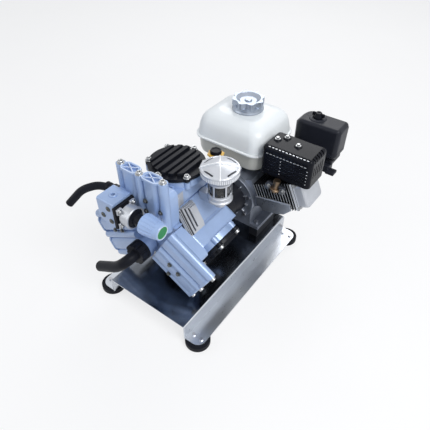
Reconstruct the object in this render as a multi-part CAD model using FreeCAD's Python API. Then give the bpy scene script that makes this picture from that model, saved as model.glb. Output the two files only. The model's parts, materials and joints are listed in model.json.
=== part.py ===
"""Portable fire pump: a three-arm diaphragm pump, a reduction gearbox and a small petrol engine on a tray.

Working frame: X to the right, Y from the pump end to the engine end, Z up, all in millimetres. X = 0 is
the middle of the tray, Y = 0 its pump end and Z = 0 the top of its deck. At the end every piece is moved so
that the origin is the middle of the footprint, on the floor.
"""
import FreeCAD, Part
import math
import os
from FreeCAD import Vector

# ---------------------------------------------------------------- driving dimensions
# Tray and feet
DECK_W = 280.0
DECK_L = 545.0
SHEET = 3.0
WALL_H = 54.0
FLANGE_W = 52.0
FLANGE_CORNER_R = 26.0
BEND_R = 5.0
FOOT_R = 36.0
FOOT_H = 20.0
FOOT_INSET_X = 26.0
FOOT_INSET_Y = 24.0
FOOT_SCREW_GAP = 26.0
SADDLE_HALF_W = 30.0
SADDLE_FOOT_HALF_W = 52.0
SADDLE_T = 7.0
SADDLE_Y0 = 140.0
SADDLE_Y1 = 272.0

# Pump: axis along Y, arms at 120 degrees
PUMP_X = -28.0
PUMP_Z = 200.0
ARM_TURNS = {"top": 0.0, "right": 120.0, "left": 240.0}
BLOCK_Y0 = 62.0
BLOCK_Y1 = 118.0
BLOCK_R0 = 49.0
BLOCK_R1 = 198.0
SLAB_R1 = 150.0
CHAMBER_U = 34.0
CHAMBER_Y = 90.0
COLUMN_Y = 78.0
COLUMN_R = 15.0
COLUMN_HALF_U = 9.0
BOSS_U = 67.0
BOSS_R = 12.5
MID_BOSS_R = 11.0
MID_BOSS_Y = 71.0
BOLT_HEAD_AF = 12.5
VALVE_BORE_R = 16.0
VALVE_BORE_L = 60.0
VALVE_L = 34.0
CASE_Y1 = 285.0
CASE_FLAT_R = 78.0
CASE_HALF_W = 60.0
CASE_CAVITY_R = 58.0
HUB_Y0 = 92.0
HUB_GAP = 1.0
ARM_END_R = 145.0
ARM_LEN_Y = 170.0
CYLINDER_FLANGE_T = 18.0
GUIDE_BORE_R = 40.0
COVER_R = 76.0
COVER_BOLT_INSET = 3.0
COVER_LOBE_R = 9.5
COVER_PLATE_T = 9.0
COVER_RIB_H = 10.0
DIAPHRAGM_T = 3.0
ECCENTRIC_R = 26.0
ECCENTRIC_THROW = 5.0
SHAFT_R = 17.0
BEARING_R = 26.0
BEARING_W = 12.0

# Pressure regulator, axis along +X
REG_Y = 30.0
REG_Z = 294.0
REG_BOX = (57.0, 62.0, 72.0)
REG_X0 = -115.0
REG_FLANGE = 60.0
REG_GASKET_EDGE = 3.0
REG_GASKET_T = 8.0
REG_FLANGE_T = 8.0
REG_DROP = 32.0
REG_BARREL_R = 25.5
REG_BARREL_L = 32.0
REG_COLLAR_R = 15.0
REG_COLLAR_L = 22.0
KNOB_R = 28.0
KNOB_END_R = 20.5
KNOB_L = 57.0
SPINDLE_R = 6.0
SEAT_R = 17.0
SPRING_ROOM_R = 18.0
SPRING_ROOM_L = 20.0
SPRING_WIRE_R = 1.8
SPRING_TURNS = 5

# Water connections
OUTLET_Z = 284.0
OUTLET_Y = 84.0
TAIL_OUT_R = 11.0
TAIL_IN_R = 15.5
UNION_R = 31.0
UNION_X = -44.0
UNION_Z = 146.0
UNION_L = 30.0

# Oil cup
CUP_X = 96.0
CUP_Y = 222.0
CUP_BASE_Z = 285.0
CAGE_R = 36.0
DOME_R = 53.0
DOME_RIM_Z = 378.0
DOME_SKIRT_H = 24.0
DOME_TOP_Z = 402.0

# Gearbox
GEAR_MODULE = 2.0
PINION_TEETH = 14
GEAR_TEETH = 62
GEAR_W = 22.0
ENGINE_DX = 46.0
GEARBOX_WALL = 9.0
GEARBOX_Y1 = 345.0
PTO_Y = 390.0
FILLER_X = 2.0
FILLER_Y = 333.0
FILLER_BOSS_Z = 276.0

# Engine
CRANK_ABOVE_BASE = 106.0
ENGINE_FOOT_T = 12.0
CYL_TILT = 65.0
ENGINE_BOLT_X = 162.0
ENGINE_BOLT_Y = 76.0
SIDE_COVER_R = 80.0
SIDE_COVER_T = 14.0
CASE_BACK_Y = 515.0
SHROUD_R = 94.0
SHROUD_Y1 = 600.0
RECOIL_R = 80.0
RECOIL_Y1 = 650.0
FLYWHEEL_R = 82.0
FLYWHEEL_W = 34.0
CRANK_R = 12.5
FIN_PITCH = 9.0
FIN_T = 2.6
CYL_T0 = 88.0
ROCKER_T = 224.0
ROCKER_T1 = 256.0
FIN_N0 = -33.0
FIN_N1 = 55.0
CYL_Y0 = 404.0
CYL_Y1 = 500.0
TANK_X0 = -140.0
TANK_X1 = 99.0
TANK_Y0 = 407.0
TANK_Y1 = 617.0
TANK_Z0 = 236.0
TANK_SEAM_Z = 299.0
TANK_Z1 = 374.0
TANK_WALL = 3.0
CAP_X = -16.0
CAP_Y = 519.0
CAP_R = 50.0
CAP_Z1 = 409.0
NECK_R = 31.0
SWITCH_X = -84.0
SWITCH_UP = 45.0
ROPE_Y = 630.0
PULLEY_R = 45.0
ROPE_R = 2.0
EYELET_L = 14.0
MUF_X0 = 105.0
MUF_X1 = 258.0
MUF_Y0 = 405.0
MUF_Y1 = 498.0
MUF_Z0 = 266.0
MUF_Z1 = 355.0
AIR_X0 = 103.0
AIR_X1 = 254.0
AIR_Y0 = 586.0
AIR_Y1 = 660.0
AIR_Z0 = 248.0
AIR_Z1 = 354.0
CARB_Y0 = 500.0
CARB_Y1 = 560.0
CARB_X = 152.0
CARB_Z = 226.0
THROTTLE_LEAN = 32.0
THROTTLE_X = 114.0
THROTTLE_Z = 254.0

# Screws, holes and clearances
SCREW_R = 3.0
SCREW_HOLE_R = 3.3
BOLT_R = 4.0
BOLT_HOLE_R = 4.4
THROUGH = 200.0
GAP = 0.3
RUN = 0.04
FIT = 0.1

# ---------------------------------------------------------------- derived sizes
CRANK_DIST = GEAR_MODULE * (PINION_TEETH + GEAR_TEETH) / 2.0
ENGINE_X = PUMP_X + ENGINE_DX
ENGINE_Z = PUMP_Z - math.sqrt(CRANK_DIST ** 2 - ENGINE_DX ** 2)
ENGINE_BASE_Z = ENGINE_Z - CRANK_ABOVE_BASE
WALL_X = DECK_W / 2.0
FLOOR_Z = -WALL_H - FOOT_H
FOOT_X = WALL_X + FOOT_INSET_X
ARM_Y = BLOCK_Y1 + ARM_LEN_Y / 2.0
ARM_FLANGE_R = ARM_END_R - CYLINDER_FLANGE_T
COVER_R0 = ARM_END_R + DIAPHRAGM_T
VALVE_R = BLOCK_R0 + 18.0
COVER_BOLT_PCR = COVER_R - COVER_BOLT_INSET
GEAR_Y0 = CASE_Y1 + GEARBOX_WALL + 5.0
REG_X1 = REG_X0 + REG_BOX[0]
REG_BARREL_X0 = REG_X1 + REG_GASKET_T + REG_FLANGE_T
REG_COLLAR_X0 = REG_BARREL_X0 + REG_BARREL_L
KNOB_X0 = REG_COLLAR_X0 + REG_COLLAR_L + GAP
ENGINE_Y0 = PTO_Y + SIDE_COVER_T
FLYWHEEL_Y0 = CASE_BACK_Y + 12.0
SEAT_X = REG_BARREL_X0 + 20.0
CASE_BOTTOM_Z = PUMP_Z - CASE_HALF_W * math.sin(math.radians(60)) - CASE_FLAT_R * math.cos(math.radians(60))

X_AXIS = Vector(1, 0, 0)
Y_AXIS = Vector(0, 1, 0)
Z_AXIS = Vector(0, 0, 1)
ORIGIN = Vector(0, 0, 0)

ROPE_ANGLE = math.radians(120)
ROPE_DIR = Vector(math.cos(ROPE_ANGLE), 0, math.sin(ROPE_ANGLE))
ROPE_SIDE = Vector(math.sin(ROPE_ANGLE), 0, -math.cos(ROPE_ANGLE))
RECOIL_EXIT = math.sqrt(RECOIL_R ** 2 - PULLEY_R ** 2)

NODES = {}


# ---------------------------------------------------------------- shape helpers
def box(x0, x1, y0, y1, z0, z1):
    """A box between two corners."""
    return Part.makeBox(x1 - x0, y1 - y0, z1 - z0, Vector(x0, y0, z0))


def rod(radius, start, axis, length):
    """A round bar from a point along an axis."""
    return Part.makeCylinder(radius, length, start, axis)


def ring(outer, inner, start, axis, length):
    """A round tube."""
    return rod(outer, start, axis, length).cut(rod(inner, start, axis, length))


def cone(r0, r1, start, axis, length):
    """A tapered round bar."""
    return Part.makeCone(r0, r1, length, start, axis)


def polygon_face(points):
    """A flat face from a closed list of corners."""
    return Part.Face(Part.makePolygon(list(points) + [points[0]]))


def prism_y(points_xz, y0, y1):
    """A polygon in the XZ plane, swept along Y."""
    face = polygon_face([Vector(x, y0, z) for x, z in points_xz])
    return face.extrude(Vector(0, y1 - y0, 0))


def revolve_z(profile_rz):
    """A closed profile of (radius, height) turned about Z."""
    face = polygon_face([Vector(r, 0, z) for r, z in profile_rz])
    return face.revolve(ORIGIN, Z_AXIS, 360)


def hex_bar(across_flats, start, axis, length):
    """A hexagonal bar along an axis."""
    radius = across_flats / math.sqrt(3.0)
    corners = [math.radians(60 * i) for i in range(6)]
    face = polygon_face([Vector(radius * math.cos(a), radius * math.sin(a), 0) for a in corners])
    bar = face.extrude(Vector(0, 0, length))
    bar.Placement = FreeCAD.Placement(start, FreeCAD.Rotation(Z_AXIS, axis))
    return bar


def fuse(shapes):
    """One solid from several that touch."""
    return shapes[0].multiFuse(shapes[1:]).removeSplitter() if len(shapes) > 1 else shapes[0]


def cut(shape, tools):
    """A shape with several others taken out of it."""
    for tool in tools:
        shape = shape.cut(tool)
    return shape


def fillet_edges(shape, radius, wanted):
    """Round the edges that the test picks."""
    edges = [edge for edge in shape.Edges if wanted(edge)]
    return shape.makeFillet(radius, edges) if edges else shape


def is_along(edge, axis):
    """True for a straight edge along an axis."""
    if len(edge.Vertexes) < 2:
        return False
    run = edge.Vertexes[1].Point.sub(edge.Vertexes[0].Point)
    straight = abs(run.Length - edge.Length) < 1e-6
    return straight and run.Length > 1e-6 and abs(run.normalize().dot(axis)) > 0.999


def soft_box(x0, x1, y0, y1, z0, z1, radius):
    """A box with rounded upright edges."""
    return fillet_edges(box(x0, x1, y0, y1, z0, z1), radius, lambda e: is_along(e, Z_AXIS))


def bevel_top(shape, size):
    """Bevel the edges round a shape's flat top."""
    top = shape.BoundBox.ZMax - 1e-6
    return shape.makeChamfer(size, [e for e in shape.Edges if min(v.Z for v in e.Vertexes) > top])


def pipe(points, radius, bore=0.0):
    """A round pipe along straight runs joined by tangent arcs."""
    path = [Vector(*p) for p in points]
    edges = []
    start = path[0]
    for i in range(1, len(path) - 1):
        into = path[i].sub(path[i - 1])
        out = path[i + 1].sub(path[i])
        short = min(into.Length, out.Length)
        into.normalize()
        out.normalize()
        turn = into.getAngle(out)
        trim = 0.45 * short
        bend = trim / math.tan(turn / 2.0)
        first = path[i].sub(into * trim)
        last = path[i].add(out * trim)
        inward = out.sub(into).normalize()
        middle = path[i].add(inward * (bend / math.cos(turn / 2.0) - bend))
        edges.append(Part.makeLine(start, first))
        edges.append(Part.Arc(first, middle, last).toShape())
        start = last
    edges.append(Part.makeLine(start, path[-1]))
    spine = Part.Wire(edges)
    heading = path[1].sub(path[0])

    def sweep(r):
        ring_wire = Part.Wire(Part.makeCircle(r, path[0], heading))
        return spine.makePipeShell([ring_wire], True, True)

    solid = sweep(radius)
    return solid.cut(sweep(bore)) if bore else solid


def head_bolt(start, axis, head_r, head_h, shank_r, shank_l):
    """A bolt: the head stands on `start` along `axis`, and the shank goes the other way."""
    head = hex_bar(head_r * math.sqrt(3.0), start, axis, head_h)
    shank = rod(shank_r, start.sub(axis * shank_l), axis, shank_l)
    return head.fuse(shank)


def on_arm(shape, arm):
    """Turn a shape drawn on an upright arm to its place about the pump axis."""
    placed = shape.copy()
    placed.rotate(ORIGIN, Y_AXIS, ARM_TURNS[arm])
    placed.translate(Vector(PUMP_X, 0, PUMP_Z))
    return placed


def on_cylinder(shape):
    """Place a shape drawn upright on the crank axis onto the tilted engine cylinder."""
    placed = shape.copy()
    placed.rotate(ORIGIN, Y_AXIS, CYL_TILT)
    placed.translate(Vector(ENGINE_X, 0, ENGINE_Z))
    return placed


def add(name, *solids):
    """Store a node: one solid, or a group of separate ones."""
    NODES[name] = solids[0] if len(solids) == 1 else Part.makeCompound(list(solids))


def belt_outline(c0, r0, c1, r1, y0, y1):
    """A solid with the outline of a belt round two pulleys, in XZ, swept along Y."""
    dx = c1[0] - c0[0]
    dz = c1[1] - c0[1]
    dist = math.hypot(dx, dz)
    base = math.atan2(dz, dx)
    lean = math.acos((r0 - r1) / dist)
    corners = []
    for centre, radius, side in ((c0, r0, 1), (c1, r1, 1), (c1, r1, -1), (c0, r0, -1)):
        angle = base + side * lean
        corners.append((centre[0] + radius * math.cos(angle), centre[1] + radius * math.sin(angle)))
    web = prism_y(corners, y0, y1)
    ends = [rod(r, Vector(c[0], y0, c[1]), Y_AXIS, y1 - y0) for c, r in ((c0, r0), (c1, r1))]
    return fuse([web] + ends)


def gear(teeth, module, y0, width, tooth_angle, bore):
    """A spur gear about Y at the origin, with the middle of one tooth at `tooth_angle` in XZ."""
    pitch_r = module * teeth / 2.0
    tip_r = pitch_r + 0.9 * module
    root_r = pitch_r - 1.25 * module
    step = 2.0 * math.pi / teeth
    points = []
    for i in range(teeth):
        middle = tooth_angle + i * step
        for radius, half in ((root_r, 0.29), (tip_r, 0.11), (tip_r, -0.11), (root_r, -0.29)):
            angle = middle - half * step
            points.append((radius * math.cos(angle), radius * math.sin(angle)))
    body = prism_y(points, y0, y0 + width)
    return body.cut(rod(bore, Vector(0, y0, 0), Y_AXIS, width))


# ---------------------------------------------------------------- frame
def make_tray():
    """Bent sheet tray: a deck, two side walls and two outward flanges."""
    outer = WALL_X + FLANGE_W
    low = -WALL_H
    profile = [
        (-WALL_X, 0), (WALL_X, 0), (WALL_X, low + SHEET), (outer, low + SHEET), (outer, low),
        (WALL_X - SHEET, low), (WALL_X - SHEET, -SHEET), (SHEET - WALL_X, -SHEET),
        (SHEET - WALL_X, low), (-outer, low), (-outer, low + SHEET), (-WALL_X, low + SHEET),
    ]
    tray = prism_y(profile, 0, DECK_L)
    tray = fillet_edges(tray, BEND_R, lambda e: is_along(e, Y_AXIS) and abs(e.Vertexes[0].Z) < 1e-6)
    tray = fillet_edges(
        tray, FLANGE_CORNER_R,
        lambda e: is_along(e, Z_AXIS) and abs(abs(e.Vertexes[0].X) - outer) < 1e-6)
    holes = [rod(SCREW_HOLE_R, p.sub(Z_AXIS * (SHEET + 1)), Z_AXIS, SHEET + 2) for p in foot_screw_places()]
    holes += [rod(BOLT_HOLE_R, Vector(x, y, -SHEET - 1), Z_AXIS, SHEET + 2) for x, y in engine_bolt_places()]
    holes += [rod(BOLT_HOLE_R, Vector(x, y, -SHEET - 1), Z_AXIS, SHEET + 2) for x, y in saddle_bolt_places()]
    add("tray", cut(tray, holes))


def foot_places():
    """The middle of each foot's top."""
    return [(sx * FOOT_X, y) for y in (FOOT_INSET_Y, DECK_L - FOOT_INSET_Y) for sx in (-1, 1)]


def foot_screw_places():
    """The top of the flange at each foot screw."""
    shifts = (-FOOT_SCREW_GAP / 2.0, FOOT_SCREW_GAP / 2.0)
    return [Vector(x + dx, y, -WALL_H + SHEET) for x, y in foot_places() for dx in shifts]


def engine_bolt_places():
    """The four bolts that hold the engine's base."""
    middle = (PTO_Y + SIDE_COVER_T + CASE_BACK_Y) / 2.0
    return [(ENGINE_X + sx * ENGINE_BOLT_X / 2.0, middle + sy * ENGINE_BOLT_Y / 2.0)
            for sx in (-1, 1) for sy in (-1, 1)]


def saddle_bolt_places():
    """The four bolts that hold the pump's saddle."""
    return [(PUMP_X + sx * (SADDLE_FOOT_HALF_W - 10.0), y)
            for sx in (-1, 1) for y in (SADDLE_Y0 + 18.0, SADDLE_Y1 - 18.0)]


def make_feet():
    """Round rubber feet under the flange ends."""
    feet = []
    for x, y in foot_places():
        foot = revolve_z([(0, 0), (FOOT_R - 3, 0), (FOOT_R, 4), (FOOT_R, FOOT_H), (0, FOOT_H)])
        foot.translate(Vector(x, y, FLOOR_Z))
        holes = [rod(SCREW_HOLE_R, Vector(x + s * FOOT_SCREW_GAP / 2.0, y, -WALL_H - 14), Z_AXIS, 14)
                 for s in (-1, 1)]
        feet.append(cut(foot, holes))
    add("rubber_feet", *feet)


def make_saddle():
    """Welded steel pedestal between the deck and the flat under the pump."""
    top = CASE_BOTTOM_Z
    left = PUMP_X - SADDLE_FOOT_HALF_W
    right = PUMP_X + SADDLE_FOOT_HALF_W
    plate = box(left, right, SADDLE_Y0, SADDLE_Y1, 0, SADDLE_T)
    cap = box(PUMP_X - SADDLE_HALF_W, PUMP_X + SADDLE_HALF_W, SADDLE_Y0, SADDLE_Y1, top - SADDLE_T, top)
    walls = [box(x, x + SADDLE_T, SADDLE_Y0, SADDLE_Y1, SADDLE_T, top - SADDLE_T)
             for x in (PUMP_X - SADDLE_HALF_W, PUMP_X + SADDLE_HALF_W - SADDLE_T)]
    holes = [rod(BOLT_HOLE_R, Vector(x, y, -1), Z_AXIS, SADDLE_T + 2) for x, y in saddle_bolt_places()]
    add("pump_saddle", cut(fuse([plate, cap] + walls), holes))


def make_risers():
    """Two bars that lift the engine to the gearbox's height."""
    places = engine_bolt_places()
    bars = []
    for sx in (-1, 1):
        x = ENGINE_X + sx * ENGINE_BOLT_X / 2.0
        bar = box(x - 15, x + 15, PTO_Y + SIDE_COVER_T + 2, CASE_BACK_Y - 2, 0, ENGINE_BASE_Z)
        holes = [rod(BOLT_HOLE_R, Vector(px, py, -1), Z_AXIS, ENGINE_BASE_Z + 2)
                 for px, py in places if px == x]
        bars.append(cut(bar, holes))
    add("engine_risers", *bars)


def frame_bolts():
    """Screws of the feet, the saddle and the engine's base."""
    bolts = [head_bolt(p, Z_AXIS, 6.0, 4.0, SCREW_R, 14.0) for p in foot_screw_places()]
    bolts += [head_bolt(Vector(x, y, SADDLE_T), Z_AXIS, 7.5, 5.5, BOLT_R, SADDLE_T + SHEET + 4.0)
              for x, y in saddle_bolt_places()]
    grip = ENGINE_BASE_Z + ENGINE_FOOT_T + SHEET + 4.0
    bolts += [head_bolt(Vector(x, y, ENGINE_BASE_Z + ENGINE_FOOT_T), Z_AXIS, 7.5, 5.5, BOLT_R, grip)
              for x, y in engine_bolt_places()]
    return bolts


# ---------------------------------------------------------------- pump
def make_crankcase():
    """Pump crankcase: three flats for the cylinders, with slanted walls between them."""
    points = []
    for arm in ("top", "right", "left"):
        turn = math.radians(ARM_TURNS[arm])
        for u in (-CASE_HALF_W, CASE_HALF_W):
            x = u * math.cos(turn) + CASE_FLAT_R * math.sin(turn)
            z = -u * math.sin(turn) + CASE_FLAT_R * math.cos(turn)
            points.append((PUMP_X + x, PUMP_Z + z))
    case = prism_y(points, BLOCK_Y1, CASE_Y1)
    hub_r = BLOCK_R0 - HUB_GAP
    corners = [math.radians(60.0 + 120.0 * i) for i in range(3)]
    hub_points = [(PUMP_X + 2.0 * hub_r * math.sin(a), PUMP_Z + 2.0 * hub_r * math.cos(a)) for a in corners]
    case = case.fuse(prism_y(hub_points, HUB_Y0, BLOCK_Y1))
    centre = Vector(PUMP_X, 0, PUMP_Z)
    front_wall = BLOCK_Y1 + 20.0
    back_wall = CASE_Y1 - 23.0
    cavity = rod(CASE_CAVITY_R, centre.add(Y_AXIS * front_wall), Y_AXIS, back_wall - front_wall)
    seat_y0 = front_wall - BEARING_W
    seats = rod(BEARING_R, centre.add(Y_AXIS * seat_y0), Y_AXIS, CASE_Y1 - seat_y0)
    bores = []
    for arm in ARM_TURNS:
        bore = rod(GUIDE_BORE_R, Vector(0, ARM_Y, CASE_CAVITY_R - 30), Z_AXIS, CASE_FLAT_R)
        bores.append(on_arm(bore, arm))
    add("pump_crankcase", cut(case, [cavity, seats] + bores))


def lobed_disc(radius, lobe_pcr, lobe_r, z0, height):
    """A disc with six bolt lobes, two of them along Y."""
    parts = [rod(radius, Vector(0, ARM_Y, z0), Z_AXIS, height)]
    for i in range(6):
        angle = math.radians(30 + 60 * i)
        place = Vector(lobe_pcr * math.cos(angle), ARM_Y + lobe_pcr * math.sin(angle), z0)
        parts.append(rod(lobe_r, place, Z_AXIS, height))
    return fuse(parts)


def make_cylinders():
    """Cylinder bodies: a stepped square neck under a lobed round flange."""
    neck = CASE_HALF_W - 2.0
    y0 = BLOCK_Y1
    y1 = CASE_Y1
    steps = [box(-neck + 6, neck - 6, y0, y1, CASE_FLAT_R, CASE_FLAT_R + 9),
             soft_box(-neck - 4, neck + 4, y0, y1, CASE_FLAT_R + 9, ARM_FLANGE_R, 14),
             box(-neck + 16, neck - 16, y0 + 16, y1 - 16, ARM_FLANGE_R, ARM_END_R - 8)]
    flange = lobed_disc(COVER_R, COVER_BOLT_PCR, COVER_LOBE_R, ARM_FLANGE_R, ARM_END_R - ARM_FLANGE_R)
    body = fuse(steps + [flange])
    guide = rod(GUIDE_BORE_R, Vector(0, ARM_Y, CASE_FLAT_R), Z_AXIS, ARM_END_R - CASE_FLAT_R)
    room = rod(COVER_R - 14, Vector(0, ARM_Y, ARM_END_R - 14), Z_AXIS, 14)
    body = cut(body, [guide, room])
    add("pump_cylinders", *[on_arm(body, arm) for arm in ARM_TURNS])


def make_covers():
    """Ribbed covers over the diaphragms."""
    plate = lobed_disc(COVER_R, COVER_BOLT_PCR, COVER_LOBE_R, COVER_R0, COVER_PLATE_T)
    top = COVER_R0 + COVER_PLATE_T
    drum = rod(COVER_BOLT_PCR - 8, Vector(0, ARM_Y, top), Z_AXIS, COVER_RIB_H)
    ribs = []
    for u in (-52, -33, -14, 10, 29, 48):
        ribs.append(box(u - 5.5, u + 5.5, ARM_Y - COVER_R, ARM_Y + COVER_R, top, top + COVER_RIB_H))
    crown = fuse(ribs).common(drum)
    hollow = rod(COVER_R - 14, Vector(0, ARM_Y, COVER_R0), Z_AXIS, 5)
    body = fuse([plate] + crown.Solids).cut(hollow)
    for arm in ARM_TURNS:
        add("cover_" + arm, on_arm(body, arm))


def make_diaphragms():
    """Rubber diaphragms clamped under the covers."""
    disc = ring(COVER_R - 8, 5.2, Vector(0, ARM_Y, ARM_END_R), Z_AXIS, DIAPHRAGM_T)
    add("diaphragms", *[on_arm(disc, arm) for arm in ARM_TURNS])


def make_pistons():
    """Pistons: a shoe over the eccentric, a stem, a guide and a clamp on the diaphragm."""
    shoe = ECCENTRIC_R + ECCENTRIC_THROW + GAP
    guide = GUIDE_BORE_R - FIT
    guide_r0 = CASE_FLAT_R + 12.0
    guide_r1 = ARM_FLANGE_R - 13.0
    profile = [
        (0, shoe), (18, shoe), (18, shoe + 6), (11, shoe + 10), (11, guide_r0), (guide, guide_r0 + 4),
        (guide, guide_r1), (14, guide_r1), (14, ARM_END_R), (5, ARM_END_R), (5, COVER_R0), (16, COVER_R0),
        (16, COVER_R0 + 2.5), (0, COVER_R0 + 2.5),
    ]
    piston = revolve_z(profile)
    piston.translate(Vector(0, ARM_Y, 0))
    add("pistons", *[on_arm(piston, arm) for arm in ARM_TURNS])


def make_eccentric():
    """Eccentric shaft in two bearings, with the driven gear on its end."""
    centre = Vector(PUMP_X, 0, PUMP_Z)
    front = BLOCK_Y1 + 20.0 - BEARING_W
    start = front + 1.0
    end = GEAR_Y0 + GEAR_W + 4.0
    shaft = rod(SHAFT_R, centre.add(Y_AXIS * start), Y_AXIS, end - start)
    lobe_centre = centre.add(Vector(0, ARM_Y - 20, ECCENTRIC_THROW))
    lobe = rod(ECCENTRIC_R, lobe_centre, Y_AXIS, 40)
    add("eccentric_shaft", fuse([shaft, lobe]))
    outer = BEARING_R - FIT
    inner = SHAFT_R + RUN
    rear = CASE_Y1 - 20.0
    rings = [ring(outer, inner, centre.add(Y_AXIS * y), Y_AXIS, BEARING_W) for y in (front, rear)]
    add("shaft_bearings", *rings)


def oval(u, y, half_u, radius, z0, height):
    """An upright bar with an oval section, long in U."""
    ends = [rod(radius, Vector(u + s * half_u, y, z0), Z_AXIS, height) for s in (-1, 1)]
    return fuse(ends + [box(u - half_u, u + half_u, y - radius, y + radius, z0, z0 + height)])


def block_body():
    """A valve block: a slab against the crankcase, two oval columns and three bolt columns in front."""
    length = BLOCK_R1 - BLOCK_R0
    slab = box(-BOSS_U - 6, BOSS_U + 6, COLUMN_Y, BLOCK_Y1, BLOCK_R0, SLAB_R1)
    slab = fillet_edges(slab, 12.0, lambda e: is_along(e, Y_AXIS) and e.Vertexes[0].Z > SLAB_R1 - 1e-6)
    columns = [oval(s * CHAMBER_U, COLUMN_Y, COLUMN_HALF_U, COLUMN_R, BLOCK_R0, length) for s in (-1, 1)]
    columns += [rod(BOSS_R, Vector(s * BOSS_U, COLUMN_Y, BLOCK_R0), Z_AXIS, length) for s in (-1, 1)]
    columns += [rod(MID_BOSS_R, Vector(0, MID_BOSS_Y, BLOCK_R0), Z_AXIS, length)]
    web = box(-BOSS_U, BOSS_U, COLUMN_Y - 4, COLUMN_Y + 8, BLOCK_R0, BLOCK_R1 - 8)
    return fuse([slab, web] + columns)


def column_end(s):
    """The sunk end of one oval column, with a cross of ribs left standing."""
    wall = 4.0
    top = BLOCK_R1 - 6.0
    pocket = oval(s * CHAMBER_U, COLUMN_Y, COLUMN_HALF_U, COLUMN_R - wall, top, 7.0)
    for turn in (-32, 32):
        rib = box(-40, 40, -1.8, 1.8, -1, 8)
        rib.rotate(ORIGIN, Z_AXIS, turn)
        rib.translate(Vector(s * CHAMBER_U, COLUMN_Y, top))
        pocket = pocket.cut(rib)
    return pocket


def make_blocks():
    """Three valve blocks across the front of the pump."""
    tools = []
    for s in (-1, 1):
        tools.append(column_end(s))
        tools.append(rod(VALVE_BORE_R, Vector(s * CHAMBER_U, CHAMBER_Y, VALVE_R), Z_AXIS, VALVE_BORE_L))
    body = block_body()
    shapes = {"top": fuse([body, regulator_pad()]), "right": body, "left": fuse([body, union_pad()])}
    for arm, shape in shapes.items():
        for tool in tools:
            shape = shape.cut(tool)
        add("valve_block_" + arm, on_arm(shape, arm))
    valve = revolve_z([
        (0, 0), (VALVE_BORE_R - FIT, 0), (VALVE_BORE_R - FIT, 8), (9, 8), (9, 20), (13, 24), (13, VALVE_L),
        (0, VALVE_L)])
    valves = []
    for arm in ARM_TURNS:
        for s in (-1, 1):
            one = valve.copy()
            one.translate(Vector(s * CHAMBER_U, CHAMBER_Y, VALVE_R))
            valves.append(on_arm(one, arm))
    add("check_valves", *valves)


def regulator_pad():
    """Flat pad on the top block for the regulator."""
    x0 = REG_X0 - PUMP_X
    z0 = REG_Z - REG_DROP - PUMP_Z
    return box(x0 + 16, x0 + REG_BOX[0], REG_BOX[1], COLUMN_Y + 5, z0 + 4, z0 + REG_BOX[2] - 4)


def union_pad():
    """Round pad on the left block for the suction union, in the arm's own frame."""
    turn = math.radians(ARM_TURNS["left"])
    dx = UNION_X - PUMP_X
    dz = UNION_Z - PUMP_Z
    u = dx * math.cos(turn) - dz * math.sin(turn)
    radial = dx * math.sin(turn) + dz * math.cos(turn)
    return rod(UNION_R - 4, Vector(u, BLOCK_Y0 - 4, radial), Y_AXIS, CHAMBER_Y - BLOCK_Y0 + 4)


def make_pump_bolts():
    """Bolts of the covers and of the valve blocks."""
    cover_top = COVER_R0 + COVER_PLATE_T
    bolts = []
    for arm in ARM_TURNS:
        for i in range(6):
            angle = math.radians(30 + 60 * i)
            u = COVER_BOLT_PCR * math.cos(angle)
            place = Vector(u, ARM_Y + COVER_BOLT_PCR * math.sin(angle), cover_top)
            bolts.append(on_arm(hex_bar(11.5, place, Z_AXIS, 6.0), arm))
        for u, y in ((-BOSS_U, COLUMN_Y), (BOSS_U, COLUMN_Y), (0, MID_BOSS_Y)):
            bolts.append(on_arm(hex_bar(BOLT_HEAD_AF, Vector(u, y, BLOCK_R1), Z_AXIS, 6.0), arm))
    add("pump_bolts", *bolts)


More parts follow.
